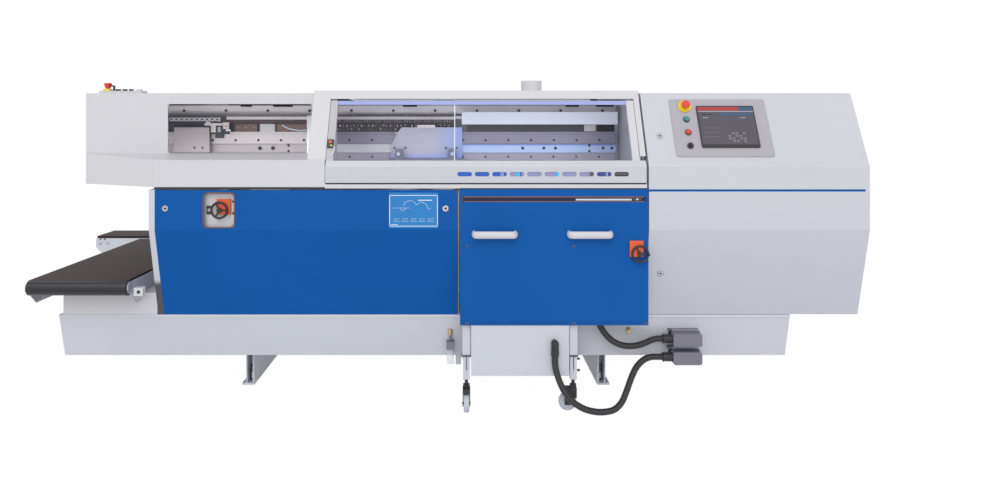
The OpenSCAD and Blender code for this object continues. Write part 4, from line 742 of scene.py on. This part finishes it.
# ---- Trolley: slot and rail, panel screws, seam with its hinges, leg collars ----
def trolley_trim():
    s = Shape()
    left, right, low, high = PANEL_X + 18, PANEL_END - 18, 949.0, 974.0
    for a, b in ((high - 5, high), (low, low + 4)):
        s.box((left, FRONT - 0.4, a), (right, FRONT + 6, b), COPPER)
    s.box((left - 4, FRONT + 9, low - 8), (right + 4, FRONT + 10.5, high + 8), NAVY)
    s.box((717, FRONT + 6.5, 955), (969, FRONT + 8.9, 963), PALE)
    s.box((976, FRONT + 5, 955), (1012, FRONT + 8.9, 966), DARKSTEEL)
    s.cyl((994, FRONT + 3.5, 960), "y", 4, 2, BRIGHT)
    for x in (227.0, 707.6):
        s.cyl((x, FRONT - 2.4, 750.6), "y", 6.0, 2.35, DARKSTEEL)
        s.box((x - 1, FRONT - 2.9, 746.5), (x + 1, FRONT - 2.4, 754.5), BLACK)
    seam = 404
    s.box((PANEL_X + 1, FRONT - 0.5, seam), (PANEL_END - 1, FRONT - 0.05, seam + 2), NAVY)
    for x in (229, 706, 1030):
        s.box((x - 11, FRONT - 2.5, seam - 4), (x + 11, FRONT - 0.05, seam + 5), BLUE)
        s.cyl((x - 11, FRONT - 2.2, seam + 0.5), "x", 2.6, 22, DARKSTEEL, seg=12)
    for x in LEG_X:
        front = LEG_Y - 19
        s.box((x - 1.3, front - 0.5, 186), (x + 1.3, front - 0.05, 244), BLACK)
        s.box((x - 21, front - 2, 247), (x + 21, front + 40, 254), DARKSTEEL)
        s.cyl((x, front - 5, 250.5), "y", 4, 3, BLACK, seg=12)
    for z in (232, 180):
        s.cyl((LEG_X[1] + 19, LEG_Y, z), "x", 5.0, 12, BLACK, seg=16)
    s.done("trolley_trim", "trolley", 0.4)


def grips():
    """Two bent oval bars, each standing off the panel on its two ends."""
    low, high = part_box("pull_handles")
    middle = (low[2] + high[2]) / 2 / MM
    stretch, thick, corner = 1.65, 10.0, 16.0
    s = Shape(Matrix.Translation((0, 0, middle)) @ Matrix.Scale(stretch, 4, (0, 0, 1)))
    front, near, far = low[1] / MM + thick, 0.3 * corner, 2 * corner
    for x0 in (low[0] / MM, high[0] / MM - GRIP_L):
        a, b = x0 + thick, x0 + GRIP_L - thick
        path = [(a, FRONT, 0), (a, front + corner, 0), (a + near, front + near, 0), (a + corner, front, 0),
                (a + far, front, 0), (b - far, front, 0), (b - corner, front, 0), (b - near, front + near, 0),
                (b, front + corner, 0), (b, FRONT, 0)]
        s.tube(smooth_route(path, 4), thick, WHITE, 20)
    return s.done("grips", "trolley")


# ---- Rear: joints between the panels and their screws ----
def rear_trim():
    s = Shape()
    low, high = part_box("rear_panels")
    face = high[1] / MM
    x0, x1, z0, z1 = low[0] / MM, high[0] / MM, low[2] / MM, high[2] / MM
    count = 4
    for i in range(1, count):
        x = x0 + (x1 - x0) * i / count
        s.box((x - 1.2, face + 0.05, z0 + 4), (x + 1.2, face + 0.5, z1 - 4), SEAL)
    for i in range(count):
        for share in (0.06, 0.5, 0.94):
            x = x0 + (x1 - x0) * (i + share) / count
            for z in (z0 + 30, z1 - 30):
                s.cyl((x, face + 0.05, z), "y", 6.0, 2.2, DARKSTEEL, seg=16)
                s.cyl((x, face + 2.2, z), "y", 3.0, 0.4, BLACK, seg=6)
    s.done("rear_joints", "machine")


# ---- Belts: axle bolts, the block at the belt's end, screws of the rear conveyor ----
def belt_trim():
    s = Shape()
    for x in (BELT_X - 5.5, BELT_END + 4.5):
        s.cyl((x, FRONT + 6, BELT_Z), "x", 7.0, 1.5, DARKSTEEL, seg=16)
    s.box((-1258, -763, 534), (-1217, -754.05, 570), WHITE)
    s.cyl((-1237, -763.4, 552), "y", 8.0, 0.4, BLACK, seg=20)
    for x in (-2010, -1985):
        s.cyl((x, 505.2, 585), "y", 4.5, 2.7, DARKSTEEL, seg=16)
    s.done("belt_screws", "machine")


# ---- Connectors: levers and rings of the hoods, seals and frames of the bases ----
def connector_trim():
    left, right = SOCKET_X - 6, SOCKET_X + SOCKET_W + 4
    hoods, bases = Shape(), Shape()
    for z in SOCKET_Z:
        lever = [(-640, z - 8), (-632, z + 8), (-600, z + 24), (-600, z + 14), (-622, z - 2), (-628, z - 12)]
        for x in (left, right - 3):
            hoods.prism(lever, "x", x, x + 3, DARKSTEEL)
        hoods.box((left, -640, z - 10), (left + 3, -600, z - 6), DARKSTEEL)
        for r, x in ((21.0, 1134.0), (20.0, 1148.0), (21.0, 1162.0)):
            hoods.ring((x, -630.5, z), "x", r, 1.6, BLACK)
        bases.box((SOCKET_X - 2, -599.5, z - 27), (SOCKET_X + SOCKET_W + 2, -596, z + 28), SEAL)
        bases.box((SOCKET_X - 10, -606, z + 37.5), (SOCKET_X + SOCKET_W - 6, -566, z + 41), CAST)
        bases.box((SOCKET_X - 10, -606, z + 30.5), (SOCKET_X - 6, -590, z + 41), CAST)
        bases.cyl((SOCKET_X + 4, -608, z + 33), "y", 4, 4, BLACK, seg=12)
    hoods.done("connector_levers", "trolley", 0.4)
    bases.done("connector_seals", "machine", 0.3)


# ---- Seals between the housing's parts ----
def seals():
    s = Shape()
    s.box((HOOD_X + 1, FRONT - 0.5, 1028.4), (HOOD_END, FRONT + 6, 1034.6), SEAL)
    s.box((PANEL_X, FRONT - 0.5, 1007.4), (PORTAL_END - 1, FRONT + 6, 1011.6), SEAL)
    s.done("seal_strips", "machine")


# ---- Behind the windows: fittings between the rails, the chain, the screws and the carriage ----
def window_parts():
    s = Shape()
    # Left window: a box, a post, a block with its pins and a block with the hose
    s.box((-857, FITTING_Y - 8, 1254), (-778, WALL_Y, 1296), WHITE)
    s.box((-556, -424, 1150), (-497, -420, 1340), WHITE)
    s.box((-990, FITTING_Y, 1256), (-872, WALL_Y, 1296), COPPER)
    for i in range(11):
        for k in range(3):
            pin = (-983 + 10.3 * i, FITTING_Y - 0.6, 1263 + 12 * k + 3 * (i % 2))
            s.cyl(pin, "y", 2.2, 0.6, PALE if (i * k) % 4 == 1 else BLACK, seg=8)
    s.box((-770, FITTING_Y, 1256), (-612, WALL_Y, 1294), COPPER)
    hose = [(-742, -153, 1290), (-716, -156, 1276), (-682, -156, 1266), (-645, -155, 1262), (-614, -152, 1263)]
    s.tube(smooth_route(hose, 8), 4.0, PALE, 10)
    # Black blocks on the top rail, a strip below the chain and two bolts
    for x0, x1 in ((-956, -902), (-786, -686), (-105, -32), (749, 817), (911, 1000)):
        s.box((x0, -166, 1386), (x1, -149.6, 1402), SOOT)
    s.box((-1299, -188, 1284), (-1109, -182.2, 1288), BLACK)
    for x in (-1192, -1150):
        s.cyl((x, -185, 1172), "y", 6.0, 3.4, DARKSTEEL, seg=16)
    # Wall in painted shadow, with small light fittings, left of the lamp cover
    s.box((-496, FITTING_Y, 1257), (172, WALL_Y, 1297), DUSK)
    front = FITTING_Y - 2
    for i in range(34):
        x = -480 + 19 * i
        s.box((x, front, 1286 - (i * 5) % 7), (x + 4 + (i * 3) % 9, FITTING_Y, 1291),
              (MID, COPPER, PALESTEEL, MID)[i % 4])
        if i % 3:
            s.box((x + 6, front, 1264), (x + 9 + (i * 7) % 11, FITTING_Y, 1268 + (i * 3) % 8), (COPPER, MID)[i % 2])
    s.box((846, FITTING_Y - 4, 1257), (903, -130, 1292), PALESTEEL)
    s.done("window_parts", "machine", 0.5)


def chain_face():
    """Bars, ticks, link eyes, a bracket and bands of painted shadow on the front of the energy chain."""
    s = Shape()
    face, low, high, start, end = -188.2, 1300.0, 1339.0, -1022, 171
    s.box((start, face - 2.4, 1319), (end, face, 1334), PALESTEEL)
    # Bands of painted shadow above and below the bars
    s.box((-1496, face - 0.6, 1335), (end, face, high), DUSK)
    s.box((start, face - 0.6, low), (end, face, 1318), DUSK)
    s.box((-1326, face - 0.4, low), (start, face, 1335), BLACK)
    for x in range(start + 4, end - 6, 13):
        s.box((x, face - 1.4, 1335), (x + 4, face - 0.6, high), PALESTEEL if x % 3 else MID)
        if x > PORTAL_X:
            s.box((x, face - 1.4, 1306), (x + 3, face - 0.6, 1315), MID if x % 4 else COPPER)
    for i in range(10):
        x = -1310 + 26.6 * i
        s.ring((x, face - 1.5, 1320), "y", 8.0, 2.6, WHITE, 20, 6)
        s.box((x + 11.5, face - 1.2, 1309), (x + 15, face, 1332), PALE)
    # Bracket at the left end of the bars: left side, foot, width, height and coat of each box
    for x, z, w, h, mat in ((-1135, 1288, 95, 12, PALESTEEL), (-1102, 1252, 26, 36, PALESTEEL),
                            (-1128, 1300, 22, 8, WHITE), (-1066, 1254, 14, 26, MID), (-1038, 1270, 30, 34, PALESTEEL),
                            (-1030, 1281, 16, 5, ORANGE), (-1024, 1258, 24, 10, PALE)):
        s.box((x, -196, z), (x + w, -189.5, z + h), mat)
    s.done("chain_face", "machine", 0.4)


def beam_screws():
    """Socket-head screws and round plugs on the rails, in place of the plain heads."""
    s = Shape()

    def screw(x, z, r, height=4.0):
        socket_head(s, x, RAIL_Y + RAIL_FACE.get(z, RAIL_FACE[MIDDLE_Z]), z, r, height, r * 0.5)

    # Rows on the lower, the upper and the top rail: height, radius, first place from the rails' end, and pitch
    for z, r, first, pitch in ((1124, 5, 99, 119), (1211, 6, 99, 119), (1366, 7, 79, 220)):
        for x in range(BEAM_X0 + first, BEAM_X1 - 30, pitch):
            screw(x, z, r)
    # The middle rail: its screws, and a screw above a plug at each end
    for r, row in ((10, (-855.5, -787.2, -503.5)), (7.5, (522, 633, 694, 944, 990))):
        for x in row:
            screw(x, MIDDLE_Z, r)
    for x in (-706, 872):
        screw(x, MIDDLE_Z + 14, 6.5, 3.0)
        # The lower plug is nearly flush, because the carriage's shoe passes over it
        s.cyl((x, RAIL_Y + RAIL_FACE[MIDDLE_Z] - 0.2, MIDDLE_Z - 16), "y", 6.5, 0.15, DARKSTEEL, seg=18)
    return s.done("beam_screws", "machine")


def carriage_trim():
    """Screws and a top block on the clamp carriage."""
    low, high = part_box("clamp_carriage")
    face, top = low[1] / MM, high[2] / MM
    s = Shape()
    for x in (-136, -80, 123, 178):
        socket_head(s, x, face, 1177, 6.5, 3.0, 3.2)
    s.box((-22, face + 4, top + 0.05), (68, face + 30, top + 14), PALESTEEL)
    s.done("carriage_trim", "clamp", 0.5)


# ---- Hood: the joint between its panes, and its switch with the lead ----
def hood_trim():
    s = Shape(on_front(170, 1261.5))
    s.box((-2.2, 6.1, -143), (2.2, 6.95, 152), PALE)
    s.done("pane_joint", "hood")
    s = Shape(on_front(-395, 1208))
    s.box((-15, -9, -20), (13, -0.05, 20), BLACK)
    s.box((-9, -9.4, 2), (4, -9, 14), ORANGE)
    s.box((-2, -9.4, -14), (8, -9, -8), YELLOW)
    s.tube(smooth_route([(13, -5, -12), (18, -5, -30), (12, -5, -52), (-2, -5, -62)], 8), 2.6, PALE, 10)
    s.done("hood_switch", "hood", 0.6)


def lamp_brush():
    """Black brush with a brass edge, at the right of the lamp cover."""
    s = Shape().box((908, -158, 1257), (1002, -154.2, 1292), SOOT)
    s.box((904, -159, 1257), (908, -154.2, 1292), BRASS)
    s.done("lamp_brush", "machine")


display()
slot_lights()
diagram()
recess_trim()
lock_trim()
trolley_trim()
connector_trim()
seals()
window_parts()
hood_trim()
rear_trim()
belt_trim()
lamp_brush()
chain_face()
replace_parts(beam_screws(), "beam_bolts")
carriage_trim()
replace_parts(grips(), "pull_handles")


# ---- Floor and background ----
def emptied(owner):
    """Node tree of a material or a world, without its nodes."""
    owner.use_nodes = True
    owner.node_tree.nodes.clear()
    return owner.node_tree


def background(tree, rgb, strength):
    """Background shader of one colour."""
    shader = tree.nodes.new("ShaderNodeBackground")
    shader.inputs["Color"].default_value = rgb
    shader.inputs["Strength"].default_value = strength
    return shader


def blended(tree, kind, fac, first, second):
    """Mixes two shaders into a new output of a kind."""
    mix = tree.nodes.new("ShaderNodeMixShader")
    link(tree, fac, mix.inputs["Fac"])
    link(tree, first.outputs[0], mix.inputs[1])
    link(tree, second.outputs[0], mix.inputs[2])
    link(tree, mix.outputs[0], tree.nodes.new(kind).inputs["Surface"])


def seen_rays(tree, *names):
    """One where a ray is of any of the named kinds."""
    rays = tree.nodes.new("ShaderNodeLightPath").outputs
    seen = rays[names[0]]
    for name in names[1:]:
        seen = computed(tree, "MAXIMUM", seen, rays[name])
    return seen


# Floor and world look near white to the camera and in reflections, and light the machine more softly
FLOOR_END, FLOOR_Z = 90, -0.0005    # metres
floor_mesh = bpy.data.meshes.new("floor")
floor_mesh.from_pydata([(x * FLOOR_END, y * FLOOR_END, FLOOR_Z) for x, y in ((-1, -1), (1, -1), (1, 1), (-1, 1))],
                       [], [(0, 1, 2, 3)])
floor = bpy.data.objects.new("floor", floor_mesh)
scene.collection.objects.link(floor)
floor_coat = bpy.data.materials.new("floor")
tree = emptied(floor_coat)
matt = tree.nodes.new("ShaderNodeBsdfDiffuse")
matt.inputs["Color"].default_value = (0.86, 0.86, 0.87, 1)
lit = tree.nodes.new("ShaderNodeEmission")
lit.inputs["Strength"].default_value = 1.05
share = computed(tree, "MULTIPLY", seen_rays(tree, "Is Camera Ray", "Is Glossy Ray"), 0.93)
blended(tree, "ShaderNodeOutputMaterial", share, matt, lit)
floor_mesh.materials.append(floor_coat)

scene.world = bpy.data.worlds.new("studio")
tree = emptied(scene.world)
blended(tree, "ShaderNodeOutputWorld", seen_rays(tree, "Is Camera Ray", "Is Glossy Ray", "Is Transmission Ray"),
        background(tree, (0.97, 0.98, 1.0, 1), 0.58), background(tree, (1, 1, 1, 1), 1.02))


# ---- Light ----
def hang(data, rotation, location=(0.0, 0.0, 0.0)):
    """Puts a lamp at a place in metres, turned by angles in degrees."""
    lamp = bpy.data.objects.new(data.name, data)
    lamp.location = location
    lamp.rotation_euler = tuple(math.radians(v) for v in rotation)
    scene.collection.objects.link(lamp)


def sun(name, strength, angle, rotation):
    """Distant lamp with soft shadows; both kinds of angle are in degrees."""
    data = bpy.data.lights.new(name, "SUN")
    data.energy, data.angle = strength, math.radians(angle)
    hang(data, rotation)


def inner_lamp(name, x, y, length, watts, rgb):
    """Strip light inside, below the window, shining back on the beams."""
    data = bpy.data.lights.new(name, "AREA")
    data.shape, data.size, data.size_y = "RECTANGLE", length * MM, 0.06
    data.energy, data.color = watts, rgb
    hang(data, (122, 0, 0), (x * MM, y * MM, 1.125))


sun("key", 0.95, 35, (48, 0, -14))
sun("rim", 0.4, 50, (-55, 0, 25))
sun("fill", 0.8, 50, (84, 0, 5))
inner_lamp("hood_light", 310, -640, 1250, 1.5, (0.86, 0.90, 1.0))
inner_lamp("window_light", -960, -525, 1000, 1.1, (1.0, 0.98, 0.96))
